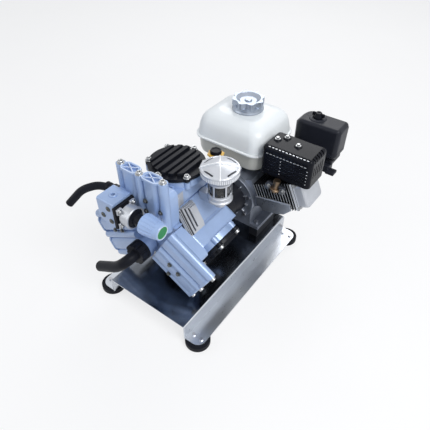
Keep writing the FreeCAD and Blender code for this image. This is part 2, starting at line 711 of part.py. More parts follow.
# ---------------------------------------------------------------- pressure regulator
def make_regulator():
    """Regulator body, gasket, flange with barrel, spring, spring seat and knob."""
    z0 = REG_Z - REG_DROP
    z1 = z0 + REG_BOX[2]
    axis_point = Vector(0, REG_Y, REG_Z)
    body = box(REG_X0, REG_X1, 0, REG_BOX[1], z0, z1)
    body = fillet_edges(body, 6.0, lambda e: is_along(e, X_AXIS))
    room = rod(SPRING_ROOM_R, axis_point.add(X_AXIS * (REG_X1 - SPRING_ROOM_L)), X_AXIS, SPRING_ROOM_L)
    port = rod(5.0, Vector((REG_X0 + REG_X1) / 2.0, REG_Y, z1 - 8), Z_AXIS, 8)
    add("regulator_body", cut(body, [room, port]))

    half = REG_FLANGE / 2.0
    edge = half + REG_GASKET_EDGE
    gasket = box(REG_X1, REG_X1 + REG_GASKET_T, REG_Y - edge, REG_Y + edge, REG_Z - edge + 1, REG_Z + edge)
    gasket_hole = rod(SPRING_ROOM_R, axis_point.add(X_AXIS * REG_X1), X_AXIS, REG_GASKET_T)
    add("regulator_gasket", gasket.cut(gasket_hole))

    x = REG_X1 + REG_GASKET_T
    flange = box(x, x + REG_FLANGE_T, REG_Y - half, REG_Y + half, REG_Z - half, REG_Z + half)
    flange = fillet_edges(flange, 6.0, lambda e: is_along(e, X_AXIS))
    barrel = rod(REG_BARREL_R, axis_point.add(X_AXIS * REG_BARREL_X0), X_AXIS, REG_BARREL_L)
    collar = rod(REG_COLLAR_R, axis_point.add(X_AXIS * REG_COLLAR_X0), X_AXIS, REG_COLLAR_L)
    room_l = SEAT_X + 6.0 - x
    tools = [rod(SPRING_ROOM_R, axis_point.add(X_AXIS * x), X_AXIS, room_l),
             rod(SPINDLE_R + RUN, axis_point.add(X_AXIS * x), X_AXIS, KNOB_X0 - x)]
    add("regulator_barrel", cut(fuse([flange, barrel, collar]), tools))

    seat = rod(SEAT_R, axis_point.add(X_AXIS * SEAT_X), X_AXIS, 5.0)
    add("spring_seat", seat)
    add("regulator_spring", make_spring(axis_point, REG_X1 - SPRING_ROOM_L, SEAT_X))

    start = axis_point.add(X_AXIS * KNOB_X0)
    knob = cone(KNOB_R, KNOB_END_R, start, X_AXIS, KNOB_L)
    grooves = []
    for i in range(12):
        angle = math.radians(30 * i)
        offset = Vector(0, (KNOB_R + 1.5) * math.cos(angle), (KNOB_R + 1.5) * math.sin(angle))
        grooves.append(rod(3.4, start.add(offset).sub(X_AXIS), X_AXIS, KNOB_L * 0.62))
    spindle_l = KNOB_X0 - SEAT_X - 5.0 - GAP
    spindle = rod(SPINDLE_R, start.sub(X_AXIS * spindle_l), X_AXIS, spindle_l + 5.0)
    recess = rod(KNOB_END_R - 3.0, start.add(X_AXIS * (KNOB_L - 3.0)), X_AXIS, 4.0)
    add("pressure_knob", cut(knob.cut(recess), grooves).fuse(spindle).removeSplitter())


def make_spring(axis_point, x0, x1):
    """Compression spring between the regulator's floor and its seat."""
    length = x1 - x0 - 2.0 * SPRING_WIRE_R
    coil_r = SPRING_ROOM_R - SPRING_WIRE_R - 2.0
    helix = Part.makeHelix(length / SPRING_TURNS, length, coil_r)
    corners = [Vector(coil_r + SPRING_WIRE_R * sx, 0, SPRING_WIRE_R * sz) for sx, sz in
               ((-1, -1), (1, -1), (1, 1), (-1, 1))]
    section = Part.makePolygon(corners + [corners[0]])
    spring = Part.Wire(helix.Edges).makePipeShell([section], True, True)
    spring.rotate(ORIGIN, Y_AXIS, 90)
    spring.translate(axis_point.add(X_AXIS * (x0 + SPRING_WIRE_R)))
    return spring


# ---------------------------------------------------------------- water connections
def make_outlet():
    """Outlet ball valve on the top block's side, its lever, and the bent hose tail."""
    face_x = PUMP_X - BOSS_U - BOSS_R
    start = Vector(face_x, OUTLET_Y, OUTLET_Z)
    flange = rod(15.0, Vector(face_x - 8, OUTLET_Y, OUTLET_Z), X_AXIS, 8 + BOSS_R - 3)
    flange = flange.cut(NODES["valve_block_top"])
    flange = max(flange.Solids, key=lambda s: s.Volume)
    body = hex_bar(30.0, start.sub(X_AXIS * 46), X_AXIS, 38)
    nose = rod(13.0, start.sub(X_AXIS * 56), X_AXIS, 10)
    stem_x = face_x - 28
    stem = rod(8.0, Vector(stem_x, OUTLET_Y - 20, OUTLET_Z), Y_AXIS, 20)
    pin_hole = rod(4.0 + RUN, Vector(stem_x, OUTLET_Y - 20, OUTLET_Z), Y_AXIS, 10)
    add("outlet_valve", fuse([flange, body, nose, stem]).cut(pin_hole))

    plate_y = OUTLET_Y - 20 - GAP - 4
    pin = rod(4.0, Vector(stem_x, plate_y, OUTLET_Z), Y_AXIS, 4 + GAP + 9)
    eye = rod(9.0, Vector(stem_x, plate_y, OUTLET_Z), Y_AXIS, 4)
    blade = box(-7, 7, 0, 4, -46, 0)
    blade = fillet_edges(blade, 6.0, lambda e: is_along(e, Y_AXIS) and e.Vertexes[0].Z < -40)
    blade.rotate(ORIGIN, Y_AXIS, 28)
    blade.translate(Vector(stem_x, plate_y, OUTLET_Z))
    add("outlet_lever", fuse([pin, eye, blade]))

    nose_x = face_x - 56
    path = [(nose_x, OUTLET_Y, OUTLET_Z), (nose_x - 34, OUTLET_Y - 14, OUTLET_Z + 2),
            (nose_x - 64, OUTLET_Y - 44, OUTLET_Z - 8), (nose_x - 98, OUTLET_Y - 72, OUTLET_Z - 56)]
    tail = pipe(path, TAIL_OUT_R, TAIL_OUT_R - 3.5)
    collar = ring(14.0, TAIL_OUT_R - 1.0, Vector(nose_x - 12, OUTLET_Y, OUTLET_Z), X_AXIS, 12)
    behind = rod(2.0 * TAIL_OUT_R, Vector(nose_x, OUTLET_Y, OUTLET_Z), X_AXIS, 40)
    trimmed = fuse([tail, collar]).cut(behind)
    add("outlet_hose_tail", max(trimmed.Solids, key=lambda s: s.Volume))


def make_suction():
    """Suction union nut on the left block and its bent hose tail."""
    y1 = BLOCK_Y0 - 4
    centre = Vector(UNION_X, y1 - UNION_L, UNION_Z)
    nut = rod(UNION_R, centre, Y_AXIS, UNION_L)
    notches = []
    for i in range(10):
        angle = math.radians(36 * i)
        offset = Vector(UNION_R * 1.06 * math.cos(angle), -1, UNION_R * 1.06 * math.sin(angle))
        notches.append(rod(5.0, centre.add(offset), Y_AXIS, UNION_L - 6))
    bore = rod(TAIL_IN_R + FIT, centre.sub(Y_AXIS), Y_AXIS, UNION_L + 2)
    add("suction_union_nut", cut(nut, notches + [bore]))
    path = [(UNION_X, y1, UNION_Z), (UNION_X, -2, UNION_Z), (UNION_X - 34, -12, UNION_Z - 36),
            (UNION_X - 108, -14, UNION_Z - 80)]
    add("suction_hose_tail", pipe(path, TAIL_IN_R, TAIL_IN_R - 4.0))


# ---------------------------------------------------------------- oil cup
def make_oil_cup():
    """Oil cup: a bracketed base with a slotted cage, a clear glass and a domed guard."""
    centre = Vector(CUP_X, CUP_Y, 0)
    base_z = CUP_BASE_Z
    floor = rod(CAGE_R, centre.add(Z_AXIS * base_z), Z_AXIS, 8)
    stem = cone(18.0, CAGE_R, centre.add(Z_AXIS * (base_z - 12)), Z_AXIS, 12)
    skirt_z = DOME_RIM_Z - DOME_SKIRT_H
    cage = ring(CAGE_R, CAGE_R - 4, centre.add(Z_AXIS * (base_z + 8)), Z_AXIS, skirt_z - base_z - 8)
    windows = []
    for i in range(3):
        window = box(-CAGE_R - 2, CAGE_R + 2, -9, 9, base_z + 26, base_z + 54)
        window.rotate(ORIGIN, Z_AXIS, 60 * i)
        window.translate(centre)
        windows.append(window)
    arm_low = base_z - 24
    high = min(base_z - 2, PUMP_Z + CASE_FLAT_R - 4)
    profile = [(facet_x_at(high), high), (CUP_X, base_z - 2), (CUP_X, arm_low)]
    profile.append((facet_x_at(arm_low), arm_low))
    arm = prism_y(profile, CUP_Y - 12, CUP_Y + 12)
    add("oil_cup_base", cut(fuse([floor, stem, cage, arm]), windows))

    glass_r = CAGE_R - 4 - GAP
    glass_z = base_z + 8
    glass = rod(glass_r, centre.add(Z_AXIS * glass_z), Z_AXIS, skirt_z - glass_z)
    glass = glass.cut(rod(glass_r - 3, centre.add(Z_AXIS * (glass_z + 3)), Z_AXIS, THROUGH))
    add("oil_cup_glass", glass)

    dome = revolve_z([
        (CAGE_R - 8, skirt_z), (CAGE_R + 2, skirt_z), (DOME_R - 3, skirt_z + 8), (DOME_R, skirt_z + 12),
        (DOME_R, DOME_RIM_Z), (DOME_R - 8, DOME_RIM_Z + 5), (28, DOME_TOP_Z - 5), (12, DOME_TOP_Z - 1),
        (0, DOME_TOP_Z), (0, DOME_TOP_Z - 4), (26, DOME_TOP_Z - 9), (DOME_R - 6, DOME_RIM_Z - 1),
        (DOME_R - 4, skirt_z + 14), (CAGE_R - 8, skirt_z + 4)])
    slots = []
    for i in range(4):
        slot = ring(DOME_R - 12, DOME_R - 19, Vector(0, 0, DOME_RIM_Z), Z_AXIS, 30)
        sector = prism_sector(DOME_R, 50, DOME_RIM_Z, 30)
        slot = slot.common(sector)
        slot.rotate(ORIGIN, Z_AXIS, 45 + 90 * i - 25)
        slots.append(slot)
    dome = cut(dome, slots)
    dome.translate(centre)
    add("oil_cup_dome", dome)


def facet_x_at(z):
    """X of the crankcase's upper right slanted wall at a height."""
    turn = math.radians(ARM_TURNS["right"])
    xa = PUMP_X + CASE_HALF_W
    za = PUMP_Z + CASE_FLAT_R
    xb = PUMP_X - CASE_HALF_W * math.cos(turn) + CASE_FLAT_R * math.sin(turn)
    zb = PUMP_Z + CASE_HALF_W * math.sin(turn) + CASE_FLAT_R * math.cos(turn)
    return xa + (za - z) * (xb - xa) / (za - zb)


def prism_sector(radius, degrees, z0, height):
    """A wedge of a disc from angle 0, about Z."""
    return Part.makeCylinder(radius, height, Vector(0, 0, z0), Z_AXIS, degrees)


# ---------------------------------------------------------------- gearbox
def make_gearbox():
    """Gearbox housing with the bell that meets the engine, and its oil filler."""
    pump_c = (PUMP_X, PUMP_Z)
    eng_c = (ENGINE_X, ENGINE_Z)
    gear_room = GEAR_MODULE * GEAR_TEETH / 2.0 + GEAR_MODULE + 3.0
    pinion_room = GEAR_MODULE * PINION_TEETH / 2.0 + GEAR_MODULE + 12.0
    wide = gear_room + GEARBOX_WALL
    narrow = pinion_room + GEARBOX_WALL + 14.0
    shell = belt_outline(pump_c, wide, eng_c, narrow, CASE_Y1, GEARBOX_Y1)
    bell = cone(pinion_room + GEARBOX_WALL + 10, pinion_room + GEARBOX_WALL + 18,
                Vector(ENGINE_X, GEARBOX_Y1, ENGINE_Z), Y_AXIS, PTO_Y - GEARBOX_Y1)
    boss = rod(12.0, Vector(FILLER_X, FILLER_Y, PUMP_Z + 40), Z_AXIS, FILLER_BOSS_Z - PUMP_Z - 40)
    room_y0 = CASE_Y1 + GEARBOX_WALL
    room = rod(gear_room, Vector(PUMP_X, room_y0, PUMP_Z), Y_AXIS, GEARBOX_Y1 - GEARBOX_WALL - room_y0)
    pinion_bore = rod(pinion_room, Vector(ENGINE_X, room_y0, ENGINE_Z), Y_AXIS, PTO_Y - room_y0)
    shaft_hole = rod(SHAFT_R + 3, Vector(PUMP_X, CASE_Y1, PUMP_Z), Y_AXIS, GEARBOX_WALL)
    filler_hole = rod(6.0, Vector(FILLER_X, FILLER_Y, PUMP_Z), Z_AXIS, 100)
    add("gearbox", cut(fuse([shell, bell, boss]), [room, pinion_bore, shaft_hole, filler_hole]))

    place = Vector(FILLER_X, FILLER_Y, FILLER_BOSS_Z)
    neck = rod(9.0, place, Z_AXIS, 28).fuse(rod(15.5, place.add(Z_AXIS * 28), Z_AXIS, 4))
    add("oil_filler_neck", neck.cut(rod(6.0, place, Z_AXIS, 40)).removeSplitter())
    cap_z = place.add(Z_AXIS * (32 + GAP))
    cap = rod(12.5, cap_z, Z_AXIS, 16)
    flats = []
    for i in range(8):
        angle = math.radians(45 * i)
        offset = Vector(13.5 * math.cos(angle), 13.5 * math.sin(angle), 2)
        flats.append(rod(2.6, cap_z.add(offset), Z_AXIS, 20))
    stem = rod(6.0 - RUN, cap_z.sub(Z_AXIS * 20), Z_AXIS, 21)
    add("oil_filler_cap", cut(cap, flats).fuse(stem).removeSplitter())


def make_gears():
    """Pinion on the crankshaft and driven gear on the eccentric shaft."""
    line = math.atan2(PUMP_Z - ENGINE_Z, PUMP_X - ENGINE_X)
    pinion = gear(PINION_TEETH, GEAR_MODULE, GEAR_Y0, GEAR_W, line, CRANK_R - 3.5)
    pinion.translate(Vector(ENGINE_X, 0, ENGINE_Z))
    add("pinion", pinion)
    half_step = math.pi / GEAR_TEETH
    wheel = gear(GEAR_TEETH, GEAR_MODULE, GEAR_Y0, GEAR_W, line + math.pi + half_step, SHAFT_R)
    wheel.translate(Vector(PUMP_X, 0, PUMP_Z))
    add("driven_gear", wheel)


# ---------------------------------------------------------------- engine
def make_engine_case():
    """Engine crankcase with its base flange, and the round side cover with bolts."""
    half = ENGINE_BOLT_X / 2.0 + 17.0
    foot_z = ENGINE_BASE_Z + ENGINE_FOOT_T
    foot = box(ENGINE_X - half, ENGINE_X + half, ENGINE_Y0, CASE_BACK_Y, ENGINE_BASE_Z, foot_z)
    drum = rod(SIDE_COVER_R, Vector(ENGINE_X, ENGINE_Y0, ENGINE_Z), Y_AXIS, CASE_BACK_Y - ENGINE_Y0)
    sump = box(ENGINE_X - 68, ENGINE_X + 68, ENGINE_Y0, CASE_BACK_Y, ENGINE_BASE_Z, ENGINE_Z)
    seat = on_cylinder(box(-46, 46, ENGINE_Y0 + 2, CASE_BACK_Y - 15, 40, CYL_T0))
    column = box(ENGINE_X - 50, ENGINE_X + 14, ENGINE_Y0 + 20, CASE_BACK_Y - 10, ENGINE_Z + 40, TANK_Z0)
    room = rod(58.0, Vector(ENGINE_X, ENGINE_Y0, ENGINE_Z), Y_AXIS, CASE_BACK_Y - ENGINE_Y0 - 10)
    journal = rod(CRANK_R + RUN, Vector(ENGINE_X, ENGINE_Y0, ENGINE_Z), Y_AXIS, THROUGH)
    holes = [rod(BOLT_HOLE_R, Vector(x, y, ENGINE_BASE_Z - 1), Z_AXIS, ENGINE_FOOT_T + 2)
             for x, y in engine_bolt_places()]
    add("engine_crankcase", cut(fuse([foot, drum, sump, seat, column]), [room, journal] + holes))

    cover = rod(SIDE_COVER_R, Vector(ENGINE_X, PTO_Y, ENGINE_Z), Y_AXIS, SIDE_COVER_T)
    cover = cover.cut(rod(CRANK_R + RUN, Vector(ENGINE_X, PTO_Y, ENGINE_Z), Y_AXIS, SIDE_COVER_T))
    add("engine_side_cover", cover)


def make_cylinder():
    """Finned engine cylinder and head, drawn upright: the head's underside is towards +X."""
    core = box(FIN_N0 + 14, FIN_N1 - 14, CYL_Y0 + 12, CYL_Y1 - 12, CYL_T0, ROCKER_T)
    fins = []
    count = int((ROCKER_T - 8 - CYL_T0) / FIN_PITCH)
    for i in range(count):
        t = CYL_T0 + 4 + i * FIN_PITCH
        fins.append(box(FIN_N0, FIN_N1, CYL_Y0, CYL_Y1, t, t + FIN_T))
    head_plate = box(FIN_N0, FIN_N1, CYL_Y0, CYL_Y1, ROCKER_T - 8, ROCKER_T)
    add("engine_cylinder", on_cylinder(fuse([core, head_plate] + fins)))

    cover = soft_box(FIN_N0 + 4, FIN_N1 - 4, CYL_Y0 + 4, CYL_Y1 - 4, ROCKER_T, ROCKER_T1, 14)
    cover = fillet_edges(cover, 9.0, lambda e: min(v.Z for v in e.Vertexes) > ROCKER_T1 - 1e-6)
    inner = soft_box(FIN_N0 + 8, FIN_N1 - 8, CYL_Y0 + 8, CYL_Y1 - 8, ROCKER_T, ROCKER_T1 - 5, 10)
    add("rocker_cover", on_cylinder(cover.cut(inner)))


def make_crankshaft():
    """Crankshaft with its throw, and the finned flywheel."""
    axis = Vector(ENGINE_X, 0, ENGINE_Z)
    nose = rod(CRANK_R - 3.5, axis.add(Y_AXIS * (GEAR_Y0 - 4)), Y_AXIS, GEAR_W + 8)
    main_y = GEAR_Y0 + GEAR_W
    main = rod(CRANK_R, axis.add(Y_AXIS * main_y), Y_AXIS, FLYWHEEL_Y0 + FLYWHEEL_W + 15.0 - main_y)
    mid_y = (ENGINE_Y0 + CASE_BACK_Y) / 2.0 - 5
    webs = [rod(40.0, axis.add(Y_AXIS * y), Y_AXIS, 14) for y in (mid_y - 28, mid_y + 14)]
    pin = rod(15.0, axis.add(Vector(0, mid_y - 28, 22)), Y_AXIS, 56)
    add("crankshaft", fuse([nose, main] + webs + [pin]))

    start = axis.add(Y_AXIS * FLYWHEEL_Y0)
    disc = ring(FLYWHEEL_R - 8, CRANK_R, start, Y_AXIS, 16)
    rim = ring(FLYWHEEL_R, FLYWHEEL_R - 24, start, Y_AXIS, FLYWHEEL_W)
    hub = ring(2.0 * CRANK_R - 1.0, CRANK_R, start, Y_AXIS, FLYWHEEL_W)
    add("flywheel", fuse([disc, rim, hub]))


def make_shroud():
    """Fan shroud and recoil starter housing on the engine's back."""
    axis = Vector(ENGINE_X, 0, ENGINE_Z)
    fan = rod(SHROUD_R, axis.add(Y_AXIS * CASE_BACK_Y), Y_AXIS, SHROUD_Y1 - CASE_BACK_Y)
    back = rod(RECOIL_R, axis.add(Y_AXIS * SHROUD_Y1), Y_AXIS, RECOIL_Y1 - SHROUD_Y1)
    eyelet = rod(8.0, rope_point(RECOIL_EXIT - 14), ROPE_DIR, 14 + EYELET_L)
    hollow = [rod(SHROUD_R - 3, axis.add(Y_AXIS * CASE_BACK_Y), Y_AXIS, SHROUD_Y1 - CASE_BACK_Y - 3),
              rod(RECOIL_R - 3, axis.add(Y_AXIS * (SHROUD_Y1 - 3)), Y_AXIS, RECOIL_Y1 - SHROUD_Y1),
              rod(ROPE_R + 1.0, rope_point(0), ROPE_DIR, THROUGH)]
    slots = []
    for i in range(12):
        slot = box(34, RECOIL_R - 14, -3.5, 3.5, 0, 20)
        slot.rotate(ORIGIN, X_AXIS, -90)
        slot.rotate(ORIGIN, Y_AXIS, 30 * i)
        slot.translate(axis.add(Y_AXIS * (RECOIL_Y1 - 10)))
        slots.append(slot)
    post = rod(9.0, axis.add(Y_AXIS * (RECOIL_Y1 - 36)), Y_AXIS, 34)
    body = fuse([cut(fuse([fan, back, eyelet]), hollow + slots), post])
    switch_z = ENGINE_Z + SWITCH_UP
    switch_box = box(SWITCH_X - 14, SWITCH_X + 22, SHROUD_Y1 - 42, SHROUD_Y1 - 4,
                     switch_z - 17, switch_z + 17)
    switch_box = switch_box.cut(rod(SHROUD_R - 1, axis.add(Y_AXIS * CASE_BACK_Y), Y_AXIS, THROUGH))
    switch_box = max(switch_box.Solids, key=lambda s: s.Volume)
    pivot = rod(4.0 + RUN, Vector(SWITCH_X, SHROUD_Y1 - 20, switch_z), Y_AXIS, 30)
    add("fan_shroud", fuse([body, switch_box]).cut(pivot))

    knob = rod(11.0, Vector(SWITCH_X, SHROUD_Y1 - 4 + GAP, switch_z), Y_AXIS, 8)
    blade = box(SWITCH_X - 3, SWITCH_X + 3, SHROUD_Y1 + 4 + GAP, SHROUD_Y1 + 14, switch_z - 11, switch_z + 11)
    stem = rod(4.0, Vector(SWITCH_X, SHROUD_Y1 - 18, switch_z), Y_AXIS, 16)
    add("engine_switch", fuse([knob, blade, stem]))

    pulley_y = ROPE_Y - 8
    pulley = fuse([rod(PULLEY_R + 8, axis.add(Y_AXIS * pulley_y), Y_AXIS, 4),
                   rod(PULLEY_R - ROPE_R - GAP, axis.add(Y_AXIS * pulley_y), Y_AXIS, 16),
                   rod(PULLEY_R + 8, axis.add(Y_AXIS * (pulley_y + 12)), Y_AXIS, 4)])
    add("recoil_pulley", pulley.cut(rod(9.0 + RUN, axis.add(Y_AXIS * pulley_y), Y_AXIS, 16)))

    grip_at = RECOIL_EXIT + EYELET_L + GAP
    grip = rod(10.0, rope_point(grip_at + 10).sub(ROPE_SIDE * 32), ROPE_SIDE, 64)
    boss = rod(8.0, rope_point(grip_at), ROPE_DIR, 10)
    rope = rod(ROPE_R, rope_point(4), ROPE_DIR, grip_at)
    add("recoil_handle", fuse([grip, boss, rope]))


def rope_point(s):
    """A point on the rope's line, measured from where it leaves the pulley."""
    return Vector(ENGINE_X, ROPE_Y, ENGINE_Z).add(ROPE_SIDE * PULLEY_R).add(ROPE_DIR * s)


def make_tank():
    """Welded fuel tank with a seam flange, its neck and the scalloped cap."""
    lower = soft_box(TANK_X0 + 8, TANK_X1 - 8, TANK_Y0 + 8, TANK_Y1 - 8, TANK_Z0, TANK_SEAM_Z, 34)
    lower = fillet_edges(lower, 12.0, lambda e: max(v.Z for v in e.Vertexes) < TANK_Z0 + 1e-6)
    flange = soft_box(TANK_X0, TANK_X1, TANK_Y0, TANK_Y1, TANK_SEAM_Z, TANK_SEAM_Z + 4, 40)
    upper = soft_box(TANK_X0 + 4, TANK_X1 - 4, TANK_Y0 + 4, TANK_Y1 - 4, TANK_SEAM_Z + 4, TANK_Z1, 38)
    upper = fillet_edges(upper, 30.0, lambda e: min(v.Z for v in e.Vertexes) > TANK_Z1 - 1e-6)
    inner = soft_box(TANK_X0 + 14, TANK_X1 - 14, TANK_Y0 + 14, TANK_Y1 - 14, TANK_Z0 + 5, TANK_Z1 - 12, 30)
    neck = rod(NECK_R, Vector(CAP_X, CAP_Y, TANK_Z1 - 14), Z_AXIS, 26)
    mouth = rod(NECK_R - TANK_WALL, Vector(CAP_X, CAP_Y, TANK_Z1 - 20), Z_AXIS, 60)
    add("fuel_tank", cut(fuse([lower, flange, upper, neck]), [inner, mouth]))

    z0 = TANK_Z1 + GAP
    cap = revolve_z([
        (NECK_R + GAP, z0), (CAP_R, z0), (CAP_R, z0 + 7), (CAP_R - 6, z0 + 12), (CAP_R - 6, CAP_Z1 - 5),
        (CAP_R - 10, CAP_Z1), (20, CAP_Z1), (18, CAP_Z1 - 3), (0, CAP_Z1 - 3), (0, TANK_Z1 + 12 + GAP),
        (NECK_R + GAP, TANK_Z1 + 12 + GAP)])
    notches = []
    for i in range(8):
        angle = math.radians(45 * i)
        place = Vector((CAP_R + 1) * math.cos(angle), (CAP_R + 1) * math.sin(angle), z0 + 12)
        notches.append(rod(8.0, place, Z_AXIS, 60))
    cap = cut(cap, notches)
    cap.translate(Vector(CAP_X, CAP_Y, 0))
    add("fuel_cap", cap)


def make_muffler():
    """Silencer box under a bevelled heat shield."""
    shield = bevel_top(box(MUF_X0, MUF_X1, MUF_Y0, MUF_Y1, MUF_Z0, MUF_Z1), 12.0)
    inner = box(MUF_X0 + 2, MUF_X1 - 2, MUF_Y0 + 2, MUF_Y1 + 5, MUF_Z0 - 5, MUF_Z1 - 2)
    inner = bevel_top(inner, 11.5)
    slots = []
    for i in range(9):
        x = MUF_X0 + 24 + i * 12.5
        slots.append(box(x, x + 6, MUF_Y0 - 5, MUF_Y0 + 5, MUF_Z1 - 22, MUF_Z1 - 19))
        slots.append(box(x, x + 6, MUF_Y0 - 5, MUF_Y0 + 5, MUF_Z1 - 30, MUF_Z1 - 27))
    add("heat_shield", cut(shield, [inner] + slots))
    can = soft_box(MUF_X0 + 9, MUF_X1 - 9, MUF_Y0 + 9, MUF_Y1 - 4, MUF_Z0 + 11, MUF_Z1 - 14, 12)
    lugs = [box(x - 8, x + 8, MUF_Y1 - 30, MUF_Y1 - 14, MUF_Z1 - 14, MUF_Z1 - 2)
            for x in (MUF_X0 + 50, MUF_X1 - 50)]
    port_x = ENGINE_X + (ROCKER_T - 24.0) * math.sin(math.radians(CYL_TILT)) - 12
    port_y = (CYL_Y0 + CYL_Y1) / 2.0
    port = box(port_x - 16, port_x + 10, port_y - 13, port_y + 13, MUF_Z0 - 26, MUF_Z0 + 12)
    port = port.cut(NODES["engine_cylinder"])
    port = max(port.Solids, key=lambda s: s.BoundBox.ZMax)
    add("muffler", fuse([can, port] + lugs))


def make_air_cleaner():
    """Air cleaner: base tray, filter, rounded cover and the knob that holds it."""
    base = soft_box(AIR_X0 + 6, AIR_X1 - 6, AIR_Y0 + 4, AIR_Y1 - 4, AIR_Z0, AIR_Z0 + 6, 14)
    stud_x = AIR_X0 + 62
    stud_y = (AIR_Y0 + AIR_Y1) / 2.0
    stud = rod(4.0, Vector(stud_x, stud_y, AIR_Z0), Z_AXIS, AIR_Z1 + 12 - AIR_Z0)
    mouth = rod(14.0, Vector(CARB_X, stud_y, AIR_Z0 - 5), Z_AXIS, 20)
    mouth = mouth.cut(rod(6.0, Vector(stud_x, stud_y, AIR_Z0), Z_AXIS, 20))
    add("air_cleaner_base", cut(base, [mouth]).fuse(stud).removeSplitter())

    cover = soft_box(AIR_X0, AIR_X1, AIR_Y0, AIR_Y1, AIR_Z0 + 6, AIR_Z1, 20)
    cover = fillet_edges(cover, 14.0, lambda e: min(v.Z for v in e.Vertexes) > AIR_Z1 - 1e-6)
    inner = soft_box(AIR_X0 + 3, AIR_X1 - 3, AIR_Y0 + 3, AIR_Y1 - 3, AIR_Z0 + 5, AIR_Z1 - 14, 17)
    hole = rod(4.0 + FIT, Vector(stud_x, stud_y, AIR_Z0), Z_AXIS, THROUGH)
    add("air_cleaner_cover", cut(cover, [inner, hole]))

    element = soft_box(AIR_X0 + 16, AIR_X1 - 16, AIR_Y0 + 12, AIR_Y1 - 12, AIR_Z0 + 6, AIR_Z1 - 22, 14)
    add("filter_element", element.cut(rod(16.0, Vector(stud_x, stud_y, AIR_Z0), Z_AXIS, THROUGH)))

    knob = rod(13.0, Vector(stud_x, stud_y, AIR_Z1 + GAP), Z_AXIS, 14)
    wings = box(stud_x - 20, stud_x + 20, stud_y - 4, stud_y + 4, AIR_Z1 + 5, AIR_Z1 + 18)
    thread = rod(4.0 + RUN, Vector(stud_x, stud_y, AIR_Z1), Z_AXIS, 12.5)
    add("air_cleaner_knob", fuse([knob, wings]).cut(thread))


def make_carburettor():
    """Carburettor behind the head, its elbow up to the air cleaner, and the three levers."""
    body = box(CARB_X - 22, CARB_X + 22, CARB_Y0 + 4, CARB_Y1, CARB_Z - 20, CARB_Z + 16)
    flange = box(CARB_X - 30, CARB_X + 30, CARB_Y0, CARB_Y0 + 6, CARB_Z - 24, CARB_Z + 20)
    bowl = rod(18.0, Vector(CARB_X, CARB_Y0 + 32, CARB_Z - 44), Z_AXIS, 26)
    stud_y = (AIR_Y0 + AIR_Y1) / 2.0
    elbow = pipe([(CARB_X, CARB_Y1 - 4, CARB_Z), (CARB_X, stud_y, CARB_Z), (CARB_X, stud_y, AIR_Z0)], 13.0)
    panel = box(THROTTLE_X - 12, CARB_X - 20, CARB_Y0 + 8, CARB_Y0 + 12, CARB_Z - 6, CARB_Z + 40)
    holes = [rod(3.0 + RUN, Vector(CARB_X + 10, y, z), X_AXIS, 20) for y, z in side_lever_places()]
    holes.append(rod(3.0 + RUN, Vector(THROTTLE_X, CARB_Y0, THROTTLE_Z), Y_AXIS, 20))
    add("carburettor", cut(fuse([body, flange, bowl, elbow, panel]), holes))

    for name, place in zip(("choke_lever", "fuel_valve_lever"), side_lever_places()):
        y, z = place
        x = CARB_X + 22 + GAP
        pin = rod(3.0, Vector(x - 10, y, z), X_AXIS, 12)
        eye = rod(7.0, Vector(x, y, z), X_AXIS, 4)
        blade = box(x, x + 4, y, y + 30, z - 4, z + 4)
        tab = box(x + 4, x + 14, y + 22, y + 30, z - 4, z + 4)
        add(name, fuse([pin, eye, blade, tab]))

    x = THROTTLE_X
    z = THROTTLE_Z
    y = CARB_Y0 + 8 - GAP - 3
    pin = rod(3.0, Vector(x, y, z), Y_AXIS, 3 + GAP + 4)
    eye = rod(9.0, Vector(x, y, z), Y_AXIS, 3)
    blade = box(x - 4, x + 4, y, y + 3, z, z + 60)
    grip = box(x - 6, x + 6, y - 2, y + 8, z + 54, z + 68)
    lever = fuse([pin, eye, blade, grip])
    lever.rotate(Vector(x, y, z), Y_AXIS, THROTTLE_LEAN)
    add("throttle_lever", lever)


def side_lever_places():
    """Pivot places of the choke and fuel levers on the carburettor's side."""
    return [(CARB_Y0 + 22, CARB_Z + 6), (CARB_Y0 + 22, CARB_Z - 12)]


def make_machine_screws():
    """Screws of the frame, of the regulator's flange and of the engine's side cover."""
    screws = frame_bolts()
    offset = REG_FLANGE / 2.0 - 6.5
    for sy in (-1, 1):
        for sz in (-1, 1):
            place = Vector(REG_BARREL_X0, REG_Y + sy * offset, REG_Z + sz * offset)
            screws.append(hex_bar(8.0, place, X_AXIS, 4.0))
    for i in range(6):
        angle = math.radians(60 * i + 20)
        place = Vector(ENGINE_X + 71 * math.cos(angle), PTO_Y - 6, ENGINE_Z + 71 * math.sin(angle))
        screws.append(hex_bar(11.0, place, Y_AXIS, 6.0))
    add("machine_screws", *screws)


def build():
    """Make every node."""
    make_tray()
    make_feet()
    make_saddle()
    make_risers()
    make_crankcase()
    make_cylinders()
    make_covers()
    make_diaphragms()
    make_pistons()
    make_eccentric()
    make_blocks()
    make_pump_bolts()
    make_regulator()
    make_outlet()
    make_suction()
    make_oil_cup()
    make_gearbox()
    make_gears()
    make_engine_case()
    make_cylinder()
    make_crankshaft()
    make_shroud()
    make_tank()
    make_muffler()
    make_air_cleaner()
    make_carburettor()
    make_machine_screws()


def export():
    """Move the origin to the middle of the footprint on the floor and write one STEP per node."""
    os.makedirs("parts", exist_ok=True)
    limits = Part.makeCompound(list(NODES.values())).optimalBoundingBox()
    shift = Vector(-(limits.XMin + limits.XMax) / 2.0, -(limits.YMin + limits.YMax) / 2.0, -limits.ZMin)
    for name, shape in NODES.items():
        shape.translate(shift)
        shape.exportStep("parts/" + name + ".step")
    print("nodes", len(NODES))
    print("shift", shift.x, shift.y, shift.z)
    print("size", limits.XLength, limits.YLength, limits.ZLength)


build()
export()
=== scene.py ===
"""Looks of the portable fire pump, laid out as an add-on: one operator for each piece or group of pieces."""
import json
import math

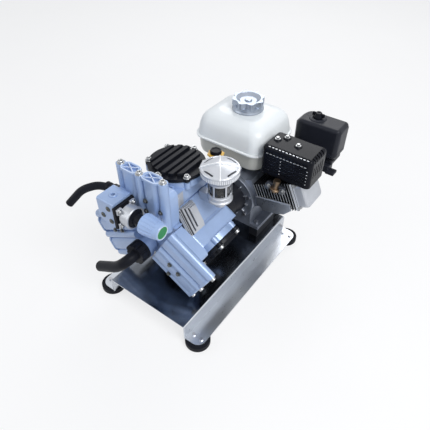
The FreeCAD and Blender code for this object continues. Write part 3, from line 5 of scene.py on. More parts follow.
import bpy
from mathutils import Matrix, Vector


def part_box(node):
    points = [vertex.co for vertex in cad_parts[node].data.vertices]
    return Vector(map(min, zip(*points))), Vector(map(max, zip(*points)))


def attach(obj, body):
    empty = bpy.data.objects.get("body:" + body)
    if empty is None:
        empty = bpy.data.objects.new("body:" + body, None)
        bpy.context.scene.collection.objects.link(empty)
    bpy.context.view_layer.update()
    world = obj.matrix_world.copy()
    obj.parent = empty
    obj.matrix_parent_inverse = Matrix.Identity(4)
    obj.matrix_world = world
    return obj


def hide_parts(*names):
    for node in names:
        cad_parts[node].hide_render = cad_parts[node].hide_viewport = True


bl_info = {
    "name": "Portable Fire Pump",
    "version": (1, 0, 0),
    "blender": (4, 5, 0),
    "location": "View3D > Sidebar > Fire Pump",
    "description": "Builds the finished surfaces of a portable fire pump around its solids",
    "category": "Add Mesh",
}

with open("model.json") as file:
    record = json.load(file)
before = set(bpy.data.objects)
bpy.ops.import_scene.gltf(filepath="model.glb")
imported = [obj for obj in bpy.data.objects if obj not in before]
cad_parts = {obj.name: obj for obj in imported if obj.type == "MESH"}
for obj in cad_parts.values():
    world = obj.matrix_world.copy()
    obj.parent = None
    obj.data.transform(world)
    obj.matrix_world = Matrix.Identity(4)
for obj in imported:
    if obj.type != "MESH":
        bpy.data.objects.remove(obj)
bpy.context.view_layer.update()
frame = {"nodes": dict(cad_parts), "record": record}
MM = 0.001
MERGE = 0.00001  # points closer than this, in metres, count as one
SMOOTH_ANGLE = math.radians(32)
BODY_OF = {node: body for body, nodes in frame["record"]["behaviour"]["bodies"].items() for node in nodes}
SLOT_OF = {row["node"]: row["material_slot"] for row in frame["record"]["subparts"]}

TRAY_LOW, TRAY_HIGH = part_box("tray")
DECK = Vector(((TRAY_LOW[0] + TRAY_HIGH[0]) / 2, TRAY_LOW[1], TRAY_HIGH[2]))
COVER_LOW, COVER_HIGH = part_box("cover_top")
ORIGIN = Vector((0, 0, 0))
X_AXIS = Vector((1, 0, 0))
Y_AXIS = Vector((0, 1, 0))
Z_AXIS = Vector((0, 0, 1))


def corners(node):
    """The low and the high corner of a node's box."""
    return tuple(Vector(corner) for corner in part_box(node))


def middle(node):
    """The middle of a node's box."""
    low, high = corners(node)
    return (low + high) / 2


def deck(x, y, z):
    """A place in millimetres from the middle of the deck's front edge."""
    return DECK + Vector((x, y, z)) * MM


PUMP_AXIS = Vector((middle("cover_top").x, 0, middle("shaft_bearings").z))
ENGINE_AXIS = Vector((middle("engine_side_cover").x, 0, middle("engine_side_cover").z))
ARM_TURNS = (0.0, 120.0, 240.0)


# ------------------------------------------------------------------ sizes and colours a user may change
class PumpFinish(bpy.types.PropertyGroup):
    """Colours of the set's finishes."""
    casting: bpy.props.FloatVectorProperty(
        name="Casting paint", description="Paint on the pump's castings", subtype="COLOR",
        size=3, min=0.0, max=1.0, default=(0.32, 0.435, 0.665))
    tank: bpy.props.FloatVectorProperty(
        name="Tank paint", description="Paint on the fuel tank", subtype="COLOR",
        size=3, min=0.0, max=1.0, default=(0.83, 0.86, 0.865))
    knob_disc: bpy.props.FloatVectorProperty(
        name="Knob disc", description="Disc in the end of the pressure knob", subtype="COLOR",
        size=3, min=0.0, max=1.0, default=(0.01, 0.22, 0.055))
    collar: bpy.props.FloatVectorProperty(
        name="Filler collar", description="Collar under the gearbox filler cap", subtype="COLOR",
        size=3, min=0.0, max=1.0, default=(0.72, 0.42, 0.05))
    black: bpy.props.FloatVectorProperty(
        name="Black parts", description="Covers, silencer and air cleaner", subtype="COLOR",
        size=3, min=0.0, max=1.0, default=(0.0085, 0.0095, 0.0135))


class PumpSizes(bpy.types.PropertyGroup):
    """Sizes of the finished surfaces."""
    sheet_edge: bpy.props.FloatProperty(
        name="Sheet edge", description="Rounding on the edges of sheet metal",
        default=0.0006, min=0.0001, unit="LENGTH")
    screw_head: bpy.props.FloatProperty(
        name="Screw head", description="Radius of a cover screw's head",
        default=0.0068, min=0.002, unit="LENGTH")


def finish():
    """The colours in use."""
    return bpy.context.scene.pump_finish


def sizes():
    """The sizes in use."""
    return bpy.context.scene.pump_sizes


# ------------------------------------------------------------------ materials
def node_tree(name):
    """An empty node material with its shader, and the object's own coordinates."""
    made = bpy.data.materials.new(name)
    made.use_nodes = True
    tree = made.node_tree
    shader = tree.nodes["Principled BSDF"]
    place = tree.nodes.new("ShaderNodeTexCoord")
    return made, tree, shader, place


def noise(tree, place, scale, detail=3.0, stretch=(1, 1, 1)):
    """Noise on the object's coordinates, with an optional stretch."""
    mapping = tree.nodes.new("ShaderNodeMapping")
    mapping.inputs["Scale"].default_value = stretch
    tree.links.new(place.outputs["Object"], mapping.inputs["Vector"])
    texture = tree.nodes.new("ShaderNodeTexNoise")
    texture.inputs["Scale"].default_value = scale
    texture.inputs["Detail"].default_value = detail
    tree.links.new(mapping.outputs["Vector"], texture.inputs["Vector"])
    return texture.outputs["Fac"]


def ramp(tree, factor, low, high):
    """Two colours or greys spread over a factor."""
    node = tree.nodes.new("ShaderNodeValToRGB")
    node.color_ramp.elements[0].position = 0.3
    node.color_ramp.elements[1].position = 0.7
    node.color_ramp.elements[0].color = (*low, 1)
    node.color_ramp.elements[1].color = (*high, 1)
    tree.links.new(factor, node.inputs["Fac"])
    return node.outputs["Color"]


def bump(tree, shader, factor, strength, distance):
    """Surface relief from a factor."""
    node = tree.nodes.new("ShaderNodeBump")
    node.inputs["Strength"].default_value = strength
    node.inputs["Distance"].default_value = distance
    tree.links.new(factor, node.inputs["Height"])
    tree.links.new(node.outputs["Normal"], shader.inputs["Normal"])


def tint(colour, amount):
    """A colour made lighter or darker."""
    return tuple(min(1.0, max(0.0, c * amount)) for c in colour)


MATERIALS = {}


def surface(name, colour, rough, metal, spread, grain, relief, depth,
            stretch=(1, 1, 1), rough_spread=0.08, coat=0.0, specular=0.5):
    """A finish with uneven colour, uneven gloss and relief of one grain."""
    made, tree, shader, place = node_tree(name)
    cloud = noise(tree, place, 14.0, 4.0)
    fine = noise(tree, place, grain, 3.0, stretch)
    tree.links.new(ramp(tree, cloud, tint(colour, 1 - spread), tint(colour, 1 + spread)),
                   shader.inputs["Base Color"])
    low = max(0.02, rough - rough_spread)
    high = min(1.0, rough + rough_spread)
    tree.links.new(ramp(tree, fine, (low,) * 3, (high,) * 3), shader.inputs["Roughness"])
    shader.inputs["Metallic"].default_value = metal
    shader.inputs["Specular IOR Level"].default_value = specular
    shader.inputs["Coat Weight"].default_value = coat
    shader.inputs["Coat Roughness"].default_value = 0.12
    bump(tree, shader, fine, relief, depth)
    MATERIALS[name] = made


def clear(name, colour, rough):
    """Clear plastic or glass."""
    made, tree, shader, place = node_tree(name)
    haze = noise(tree, place, 60.0, 2.0)
    tree.links.new(ramp(tree, haze, (rough,) * 3, (rough + 0.05,) * 3), shader.inputs["Roughness"])
    tree.links.new(ramp(tree, haze, tint(colour, 0.96), colour), shader.inputs["Base Color"])
    shader.inputs["Transmission Weight"].default_value = 1.0
    shader.inputs["IOR"].default_value = 1.45
    MATERIALS[name] = made


def make_materials():
    """Every finish of the set: name, colour, roughness, metal, colour spread, grain, relief and its depth."""
    use = finish()
    casting = tuple(use.casting)
    black = tuple(use.black)
    grey = (0.50, 0.52, 0.56)
    surface("casting_paint", casting, 0.34, 0.15, 0.07, 900.0, 0.22, 0.0004, coat=0.4)
    surface("knob_plastic", tint(casting, 1.12), 0.36, 0.0, 0.05, 1200.0, 0.10, 0.0002, coat=0.2)
    surface("pale_plastic", (0.72, 0.80, 0.86), 0.36, 0.0, 0.05, 1200.0, 0.10, 0.0002)
    surface("bare_aluminium", (0.56, 0.59, 0.64), 0.30, 0.95, 0.05, 40.0, 0.01, 0.0001, (9, 1, 1), 0.03)
    surface("cast_aluminium", grey, 0.42, 0.75, 0.08, 900.0, 0.16, 0.0003)
    surface("machined", grey, 0.36, 0.70, 0.14, 200.0, 0.05, 0.0001, (1, 12, 1), 0.06)
    surface("worn_rim", (0.60, 0.69, 0.86), 0.36, 0.3, 0.06, 600.0, 0.10, 0.0002)
    # Darker copy of the tray's metal for the deck top: a painted dark reflection
    surface("deck_sheet", (0.20, 0.22, 0.255), 0.18, 1.0, 0.35, 60.0, 0.05, 0.0002, (14, 0.7, 14), 0.09)
    surface("polished_dome", (0.52, 0.54, 0.58), 0.36, 0.75, 0.08, 300.0, 0.06, 0.0002)
    # Pale copy of the bare metals, a painted highlight on the dome ridges, the guard's slot edges and the fin
    # ends
    surface("bright_edge", (0.86, 0.88, 0.90), 0.34, 0.6, 0.05, 600.0, 0.08, 0.0002)
    surface("dark_casting", (0.055, 0.062, 0.08), 0.42, 0.7, 0.30, 500.0, 0.30, 0.0005)
    surface("engine_casting", (0.24, 0.265, 0.32), 0.42, 0.65, 0.30, 420.0, 0.30, 0.0005)
    surface("fin_black", (0.020, 0.021, 0.025), 0.40, 0.4, 0.2, 400.0, 0.20, 0.0003, specular=0.2)
    surface("cover_paint", tint(black, 1.1), 0.34, 0.0, 0.2, 900.0, 0.22, 0.0004, specular=0.15)
    surface("black_gloss", black, 0.22, 0.0, 0.2, 400.0, 0.06, 0.0002, specular=0.08)
    surface("case_plastic", tint(black, 1.9), 0.38, 0.0, 0.2, 1300.0, 0.20, 0.0003, specular=0.18)
    surface("black_plastic", tint(black, 1.2), 0.40, 0.0, 0.2, 1500.0, 0.20, 0.0003, specular=0.09)
    surface("rubber", black, 0.55, 0.0, 0.25, 700.0, 0.25, 0.0004, specular=0.12)
    surface("zinc_steel", (0.46, 0.47, 0.50), 0.33, 1.0, 0.10, 250.0, 0.10, 0.0002)
    surface("screw_steel", (0.40, 0.41, 0.42), 0.36, 1.0, 0.12, 350.0, 0.12, 0.0002)
    surface("dark_screw", (0.13, 0.135, 0.13), 0.40, 1.0, 0.15, 350.0, 0.12, 0.0002)
    surface("burnt_steel", (0.26, 0.19, 0.13), 0.40, 1.0, 0.30, 300.0, 0.20, 0.0003)
    # Near-black finish for the strips in the step creases: painted shade
    surface("dark_steel", (0.028, 0.030, 0.036), 0.45, 0.6, 0.2, 400.0, 0.20, 0.0003)
    surface("brass", (0.62, 0.42, 0.14), 0.30, 1.0, 0.08, 300.0, 0.10, 0.0002)
    surface("tank_paint", tuple(use.tank), 0.38, 0.0, 0.015, 90.0, 0.02, 0.0002, coat=0.12)
    surface("filler_yellow", tuple(use.collar), 0.36, 0.0, 0.08, 900.0, 0.10, 0.0002)
    surface("disc_green", tuple(use.knob_disc), 0.38, 0.0, 0.10, 900.0, 0.10, 0.0002)
    # Darker, warmer copy of the tank paint for the tank's lower half: painted shade
    surface("tank_foot", (0.60, 0.595, 0.54), 0.38, 0.0, 0.02, 90.0, 0.02, 0.0002, coat=0.12)
    # Lighter copy of the tank paint for the seam flange: a painted highlight
    surface("tank_seam", (0.86, 0.88, 0.88), 0.36, 0.0, 0.01, 90.0, 0.02, 0.0002, coat=0.12)
    surface("bright_cap", (0.36, 0.405, 0.48), 0.32, 0.75, 0.06, 90.0, 0.01, 0.0001, rough_spread=0.03)
    surface("foam", (0.03, 0.03, 0.03), 0.9, 0.0, 0.3, 600.0, 0.6, 0.001)
    clear("cup_glass", (0.30, 0.31, 0.33), 0.06)
    surface("oil", (0.030, 0.022, 0.012), 0.12, 0.0, 0.15, 80.0, 0.03, 0.0002, coat=0.5)


SLOT_LOOK = {
    "dark_aluminium": "dark_casting", "blue_grey_paint": "casting_paint", "blue_grey_plastic": "knob_plastic",
    "black_paint": "cover_paint", "black_steel_sheet": "black_gloss", "bright_steel": "zinc_steel",
    "yellow_plastic": "filler_yellow", "clear_plastic": "cup_glass", "white_paint": "tank_paint",
}
NODE_LOOK = {
    "tray": "bare_aluminium", "oil_cup_dome": "polished_dome", "oil_cup_base": "polished_dome",
    "engine_crankcase": "engine_casting", "engine_side_cover": "engine_casting",
    "engine_cylinder": "fin_black", "rocker_cover": "cast_aluminium", "regulator_spring": "zinc_steel",
    "muffler": "zinc_steel",
}


def look_of(node):
    """The finish that a node wears: its own, its slot's, or the one with the slot's name."""
    slot = SLOT_OF[node]
    return MATERIALS[NODE_LOOK.get(node, SLOT_LOOK.get(slot, slot))]


# ------------------------------------------------------------------ modelling helpers
def clear_selection():
    """Leave edit mode with nothing selected."""
    if bpy.context.object and bpy.context.object.mode != "OBJECT":
        bpy.ops.object.mode_set(mode="OBJECT")
    bpy.ops.object.select_all(action="DESELECT")


def pick(piece):
    """Select one piece alone and make it active."""
    clear_selection()
    piece.select_set(True)
    bpy.context.view_layer.objects.active = piece


def apply_modifiers(piece):
    """Apply every modifier of a piece."""
    pick(piece)
    for modifier in list(piece.modifiers):
        bpy.ops.object.modifier_apply(modifier=modifier.name)


def round_edges(piece, width, segments=2, degrees=30.0):
    """Bevel a piece's sharp edges and smooth the rest."""
    if width:
        bevel = piece.modifiers.new("edge", "BEVEL")
        bevel.width = width
        bevel.segments = segments
        bevel.limit_method = "ANGLE"
        bevel.angle_limit = math.radians(degrees)
        apply_modifiers(piece)
    pick(piece)
    bpy.ops.object.shade_smooth_by_angle(angle=SMOOTH_ANGLE)
    even = piece.modifiers.new("even", "WEIGHTED_NORMAL")
    even.keep_sharp = True
    apply_modifiers(piece)


def settle(piece, name, look, node, hide=(), width=0.0, segments=2):
    """Round and name a piece, give it its finish and its body, and hide the solids it takes the place of."""
    round_edges(piece, width, segments)
    piece.name = name
    piece.data.name = name
    piece.data.materials.clear()
    piece.data.materials.append(MATERIALS[look] if look else look_of(node))
    pick(piece)
    bpy.ops.object.transform_apply(location=True, rotation=True, scale=True)
    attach(piece, BODY_OF[node])
    if hide:
        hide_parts(*hide)
    return piece


def edit_all():
    """Go into edit mode with everything selected."""
    bpy.ops.object.mode_set(mode="EDIT")
    bpy.ops.mesh.select_all(action="SELECT")


def edit_only(piece, kind, wanted):
    """Go into edit mode with only the wanted faces or edges of a piece selected."""
    bpy.ops.object.mode_set(mode="EDIT")
    bpy.ops.mesh.select_all(action="DESELECT")
    bpy.ops.object.mode_set(mode="OBJECT")
    for item in getattr(piece.data, kind):
        item.select = wanted(item)
    bpy.ops.object.mode_set(mode="EDIT")


def closed(piece):
    """Turn every face of a piece outward and leave edit mode."""
    bpy.ops.mesh.select_all(action="SELECT")
    bpy.ops.mesh.normals_make_consistent(inside=False)
    bpy.ops.object.mode_set(mode="OBJECT")
    return piece


def extrude(step):
    """Extrude what is selected by a step."""
    bpy.ops.mesh.extrude_region_move(TRANSFORM_OT_translate={"value": step})


def softened(node, width):
    """A copy of a solid with its edges rounded, in place of the solid."""
    pick(frame["nodes"][node])
    bpy.ops.object.duplicate()
    piece = bpy.context.object
    edit_all()
    bpy.ops.mesh.remove_doubles(threshold=2 * MERGE)
    bpy.ops.mesh.dissolve_limited(angle_limit=math.radians(0.6), use_dissolve_boundaries=False)
    bpy.ops.object.mode_set(mode="OBJECT")
    return settle(piece, node + "_finish", None, node, hide=(node,), width=width)


def bar(radius, start, axis, length, sides):
    """A round or many-sided bar from a point along an axis."""
    clear_selection()
    turn = Vector(axis).to_track_quat("Z", "Y").to_euler()
    centre = Vector(start) + Vector(axis).normalized() * (length / 2)
    bpy.ops.mesh.primitive_cylinder_add(
        vertices=sides, radius=radius, depth=length, location=centre, rotation=turn)
    bpy.ops.object.transform_apply(location=True, rotation=True, scale=True)
    return bpy.context.object


def block(low, high, place=ORIGIN):
    """A box between two corners, measured from a place."""
    clear_selection()
    low = place + Vector(low)
    high = place + Vector(high)
    bpy.ops.mesh.primitive_cube_add(size=1, location=(low + high) / 2, scale=high - low)
    bpy.ops.object.transform_apply(location=True, rotation=True, scale=True)
    return bpy.context.object


def chain(points):
    """A line of joined points, drawn one point after another."""
    clear_selection()
    bpy.ops.mesh.primitive_plane_add(size=0.001, location=(0, 0, 0))
    edit_all()
    bpy.ops.mesh.merge(type="CENTER")
    bpy.ops.transform.translate(value=points[0])
    for before, after in zip(points, points[1:]):
        extrude(after - before)
    bpy.ops.object.mode_set(mode="OBJECT")
    return bpy.context.object


def from_axis(place, axis):
    """A placement that stands a piece drawn upright on a place, along an axis."""
    return Matrix.Translation(place) @ Vector(axis).to_track_quat("Z", "Y").to_matrix().to_4x4()


def turned(profile, place, axis=Z_AXIS, steps=48):
    """A profile of (radius, height) pairs in millimetres, spun about an axis through a place."""
    piece = chain([Vector((radius * MM, 0, height * MM)) for radius, height in profile])
    edit_all()
    bpy.ops.mesh.spin(steps=steps, angle=2 * math.pi, center=(0, 0, 0), axis=(0, 0, 1))
    bpy.ops.mesh.select_all(action="SELECT")
    bpy.ops.mesh.remove_doubles(threshold=MERGE)
    closed(piece)
    piece.data.transform(from_axis(place, axis))
    return piece


def sheet_of(outline, thickness_step):
    """A flat outline filled and extruded."""
    piece = chain(outline)
    edit_all()
    bpy.ops.mesh.edge_face_add()
    extrude(thickness_step)
    return closed(piece)


def joined(pieces):
    """Several pieces in one object."""
    clear_selection()
    for piece in pieces:
        piece.select_set(True)
    bpy.context.view_layer.objects.active = pieces[0]
    if len(pieces) > 1:
        bpy.ops.object.join()
    return bpy.context.object


def copies(piece, placements):
    """Copies of a piece at each placement, joined, in place of the first."""
    made = []
    for placement in placements:
        pick(piece)
        bpy.ops.object.duplicate()
        twin = bpy.context.object
        twin.data.transform(placement)
        made.append(twin)
    bpy.data.objects.remove(piece)
    return joined(made)


def carve(piece, tools):
    """Cut closed tools out of a piece."""
    for tool in tools:
        cutter = piece.modifiers.new("cut", "BOOLEAN")
        cutter.operation = "DIFFERENCE"
        cutter.solver = "EXACT"
        cutter.object = tool
        apply_modifiers(piece)
        bpy.data.objects.remove(tool)


def at(places):
    """Placements that only move a piece, one for each place."""
    return [Matrix.Translation(place) for place in places]


def around(centre, radius, count, start=0.0):
    """Points spread evenly round an upright axis through a centre."""
    points = []
    for i in range(count):
        angle = math.radians(start + 360 * i / count)
        points.append(centre + radius * Vector((math.cos(angle), math.sin(angle), 0)))
    return points


def turn_about(place, degrees, axis="Z"):
    """A turn about an axis through a place."""
    return (Matrix.Translation(place) @ Matrix.Rotation(math.radians(degrees), 4, axis)
            @ Matrix.Translation(-place))


def on_arms(placements):
    """The placements of a piece drawn on the top arm, on each of the three arms."""
    return [turn_about(PUMP_AXIS, turn, "Y") @ placement for turn in ARM_TURNS for placement in placements]


# ------------------------------------------------------------------ stage
def lamp(name, place, aim, power, size):
    """A soft square lamp aimed at a point."""
    clear_selection()
    turn = (Vector(aim) - Vector(place)).to_track_quat("-Z", "Y").to_euler()
    bpy.ops.object.light_add(type="AREA", location=place, rotation=turn)
    made = bpy.context.object
    made.name = name
    made.data.energy = power
    made.data.size = size


class SetStage(bpy.types.Operator):
    """Floor, lamps, sky and camera"""
    bl_idname = "fire_pump.stage"
    bl_label = "Stage"

    def execute(self, context):
        clear_selection()
        bpy.ops.mesh.primitive_plane_add(size=12, location=(0, 0, 0))
        floor = context.object
        floor.name = "floor"
        floor.data.materials.append(backdrop_material())
        target = Vector((0, 0, 0.2))
        lamp("key_lamp", (1.9, -0.5, 2.5), target, 62, 1.4)
        lamp("fill_lamp", (-1.8, -1.9, 1.5), target, 13, 2.0)
        lamp("back_lamp", (-0.9, 2.2, 2.3), target, 26, 1.6)
        context.scene.world = sky()
        set_camera(context)
        context.scene.view_settings.view_transform = "Standard"
        return {"FINISHED"}


def white_to_eye(tree):
    """A factor of one for camera, mirror and glass rays."""
    rays = tree.nodes.new("ShaderNodeLightPath")
    factor = rays.outputs["Is Camera Ray"]
    for other in ("Is Glossy Ray", "Is Transmission Ray"):
        most = tree.nodes.new("ShaderNodeMath")
        most.operation = "MAXIMUM"
        tree.links.new(factor, most.inputs[0])
        tree.links.new(rays.outputs[other], most.inputs[1])
        factor = most.outputs[0]
    return factor


def backdrop_material():
    """Pale floor that keeps the set's shadow."""
    made, tree, shader, place = node_tree("floor_white")
    cloud = noise(tree, place, 3.0)
    tree.links.new(ramp(tree, cloud, (0.90, 0.90, 0.91), (0.93, 0.93, 0.94)), shader.inputs["Base Color"])
    shader.inputs["Roughness"].default_value = 0.9
    glow = tree.nodes.new("ShaderNodeEmission")
    mix = tree.nodes.new("ShaderNodeMixShader")
    share = tree.nodes.new("ShaderNodeMath")
    share.operation = "MULTIPLY"
    share.inputs[1].default_value = 0.72
    tree.links.new(white_to_eye(tree), share.inputs[0])
    tree.links.new(share.outputs[0], mix.inputs["Fac"])
    tree.links.new(shader.outputs["BSDF"], mix.inputs[1])
    tree.links.new(glow.outputs["Emission"], mix.inputs[2])
    tree.links.new(mix.outputs["Shader"], tree.nodes["Material Output"].inputs["Surface"])
    return made


def sky():
    """Even pale light from all round, white to the eye."""
    world = bpy.data.worlds.new("studio")
    world.use_nodes = True
    tree = world.node_tree
    ground = tree.nodes["Background"]
    ground.inputs["Color"].default_value = (0.80, 0.87, 1.0, 1)
    ground.inputs["Strength"].default_value = 0.34
    white = tree.nodes.new("ShaderNodeBackground")
    white.inputs["Color"].default_value = (1, 1, 1, 1)
    mix = tree.nodes.new("ShaderNodeMixShader")
    tree.links.new(white_to_eye(tree), mix.inputs["Fac"])
    tree.links.new(ground.outputs["Background"], mix.inputs[1])
    tree.links.new(white.outputs["Background"], mix.inputs[2])
    tree.links.new(mix.outputs["Shader"], tree.nodes["World Output"].inputs["Surface"])
    return world


CAMERA_PLACE = (586.0, -467.0, 1002.0)
CAMERA_YAW = math.radians(36.27)
CAMERA_PITCH = math.radians(42.63)
CAMERA_LENS = 35.83


def set_camera(context):
    """The camera, from the right of the pump end and above."""
    clear_selection()
    turn = (math.pi / 2 - CAMERA_PITCH, 0, CAMERA_YAW)
    bpy.ops.object.camera_add(location=deck(*CAMERA_PLACE), rotation=turn)
    camera = context.object
    camera.name = "camera"
    camera.data.lens = CAMERA_LENS
    camera.data.sensor_width = 36.0
    context.scene.camera = camera


# ------------------------------------------------------------------ pieces
class PlainNodes(bpy.types.Operator):
    """Finishes on the solids that keep their own shape"""
    bl_idname = "fire_pump.plain_nodes"
    bl_label = "Solids"

    def execute(self, context):
        for name, solid in frame["nodes"].items():
            solid.data.materials.clear()
            solid.data.materials.append(look_of(name))
        return {"FINISHED"}


SOFT_CASTINGS = {
    "pump_crankcase": 2.0, "pump_cylinders": 1.6, "cover_top": 1.6, "cover_right": 1.6, "cover_left": 1.6,
    "valve_block_top": 1.5, "valve_block_right": 1.5, "valve_block_left": 1.5, "regulator_body": 2.2,
    "regulator_gasket": 0.8, "gearbox": 2.0, "engine_crankcase": 2.0, "engine_side_cover": 2.5,
    "engine_cylinder": 0.5, "rocker_cover": 1.0, "carburettor": 1.2,
    "suction_union_nut": 1.2, "outlet_valve": 0.9, "outlet_lever": 0.8, "rubber_feet": 1.5,
    "fan_shroud": 2.0, "engine_risers": 0.8, "pump_saddle": 0.8, "recoil_handle": 1.5,
    "engine_switch": 0.8, "choke_lever": 0.6, "fuel_valve_lever": 0.6, "throttle_lever": 0.5, "muffler": 1.0,
}


class SoftCastings(bpy.types.Operator):
    """Castings and mouldings with their edges rounded"""
    bl_idname = "fire_pump.soft_castings"
    bl_label = "Castings"

    def execute(self, context):
        for node, width in SOFT_CASTINGS.items():
            softened(node, width * MM)
        return {"FINISHED"}


# ------------------------------------------------------------------ pump pieces
def spot(u, y, r):
    """A place on the top arm in millimetres: across it, along the set and out from the pump's axis."""
    return Vector((PUMP_AXIS.x + u * MM, DECK.y + y * MM, PUMP_AXIS.z + r * MM))


def socket_screw(radius, height):
    """One socket head screw on its washer, in millimetres, drawn upright at the origin."""
    washer = radius * 1.42
    socket = radius * 0.54
    return turned([
        (0, 0), (washer - 0.4, 0), (washer, 0.4), (washer, 1.2), (washer - 0.4, 1.6), (radius, 1.6),
        (radius, height - 0.8), (radius - 0.8, height), (radius * 0.62, height), (socket, height - 0.6),
        (socket, height * 0.45), (0, height * 0.45)], ORIGIN, steps=24)


def hex_screw(width, height):
    """One hexagon head screw on its washer, in millimetres, drawn upright at the origin."""
    washer = 1.4
    corner = width / 2 / math.cos(math.radians(30))
    head = bar(corner * MM, (0, 0, washer * MM), Z_AXIS, (height - washer) * MM, 6)
    round_edges(head, 0.0006)
    inner = width * 0.78
    outer = width * 0.82
    plate = turned([(0, 0), (inner, 0), (outer, 0.4), (outer, 1.2), (inner, 1.5), (0, 1.5)], ORIGIN, steps=24)
    return joined([head, plate])


class CoverScrews(bpy.types.Operator):
    """Screws of the covers and of the valve blocks"""
    bl_idname = "fire_pump.cover_screws"
    bl_label = "Cover screws"

    def execute(self, context):
        circle = (COVER_HIGH[1] - COVER_LOW[1]) / 2 / MM - 9.5
        hub = Vector((0, (middle("cover_top").y - DECK.y) / MM, (COVER_HIGH[2] - PUMP_AXIS.z) / MM - 10))
        spots = around(hub, circle, 6, 30) + [(-67, 78, 198), (67, 78, 198), (0, 71, 198)]
        heads = on_arms(at([spot(*place) for place in spots]))
        piece = copies(socket_screw(sizes().screw_head / MM, 7.2), heads)
        settle(piece, "cover_screws", "screw_steel", "pump_bolts", hide=("pump_bolts",))

        fronts = [(-27, 73.5, 117), (17, 62.8, 98), (19, 62.8, 131), (62, 66.5, 112)]
        heads = on_arms([from_axis(spot(*place), -Y_AXIS) for place in fronts])
        settle(copies(hex_screw(8.5, 5.5), heads), "block_screws", "dark_screw", "pump_bolts")
        return {"FINISHED"}


def oval_plate(half_u, radius, wall, height):
    """An oval ring drawn flat at the origin."""
    outline = []
    for side in (1, -1):
        for i in range(13):
            angle = math.radians(-90 + 15 * i)
            outline.append(side * Vector((half_u + radius * math.cos(angle), radius * math.sin(angle), 0)))
    piece = chain(outline + outline[:1])
    edit_all()
    bpy.ops.mesh.remove_doubles(threshold=MERGE)
    bpy.ops.mesh.edge_face_add()
    bpy.ops.mesh.inset(thickness=wall)
    bpy.ops.mesh.delete(type="FACE")
    bpy.ops.mesh.select_all(action="SELECT")
    extrude((0, 0, height))
    return closed(piece)


class ChamberEnds(bpy.types.Operator):
    """Ribbed ends of the valve chambers, with their machined rims"""
    bl_idname = "fire_pump.chamber_ends"
    bl_label = "Chamber ends"

    def execute(self, context):
        places = on_arms(at([spot(-34, 78, 192), spot(34, 78, 192)]))
        lip = copies(oval_plate(0.0125, 0.0165, 0.0048, 0.0064), places)
        settle(lip, "chamber_lips", None, "valve_block_top", width=0.0009)

        parts = [oval_plate(0.0122, 0.0160, 0.0021, 0.0009)]
        for turn in (-30, 30):
            rib = block((-0.0205, -0.0011, 0), (0.0205, 0.0011, 0.0009))
            rib.data.transform(turn_about(ORIGIN, turn))
            parts.append(rib)
        rim = joined(parts)
        rim.data.transform(Matrix.Translation((0, 0, 0.0062)))
        settle(copies(rim, places), "chamber_rims", "worn_rim", "valve_block_top", width=0.0002)
        return {"FINISHED"}


class MachinedSteps(bpy.types.Operator):
    """Bare stepped faces between the pump's upper arms, with near-black strips along each step's foot as
    painted shade
    """
    bl_idname = "fire_pump.machined_steps"
    bl_label = "Machined steps"

    def execute(self, context):
        lean = Matrix.Translation(PUMP_AXIS) @ Matrix.Rotation(math.radians(60), 4, "Y")
        floor = 0.0915
        steps = [(-0.036, 0.046, 0.1188, 0.1780, 0.004), (-0.034, 0.043, 0.1330, 0.1770, 0.009),
                 (-0.030, 0.036, 0.1410, 0.1750, 0.014), (-0.026, 0.028, 0.1490, 0.1720, 0.019)]
        parts = []
        shade_lines = []
        below = 0.0
        for left, right, front, back, high in steps:
            front += DECK.y
            parts.append(block((left, front, floor - 0.006), (right, DECK.y + back, floor + high)))
            # Near-black strip along the foot of each step: painted shade in the crease
            shade_lines.append(block((left - 0.0008, front - 0.0016, floor + below - 0.002),
                                 (right + 0.0008, front + 0.001, floor + below + 0.0014)))
            below = high
        parts.append(block((-0.030, DECK.y + 0.1215, floor), (0.040, DECK.y + 0.1235, floor + 0.0085)))
        shade_lines.append(block((-0.032, DECK.y + 0.1240, floor), (0.042, DECK.y + 0.1285, floor + 0.0044)))
        for part in parts + shade_lines:
            part.data.transform(lean)
        settle(joined(shade_lines), "step_grooves", "dark_steel", "oil_cup_base", width=0.0003)
        parts.append(block(spot(61.5, 119, 86), spot(64.5, 148, 126)))
        parts.append(block(spot(61.5, 119, 86), spot(67.0, 131, 122)))
        settle(joined(parts), "machined_steps", "machined", "oil_cup_base", width=0.0007)
        return {"FINISHED"}


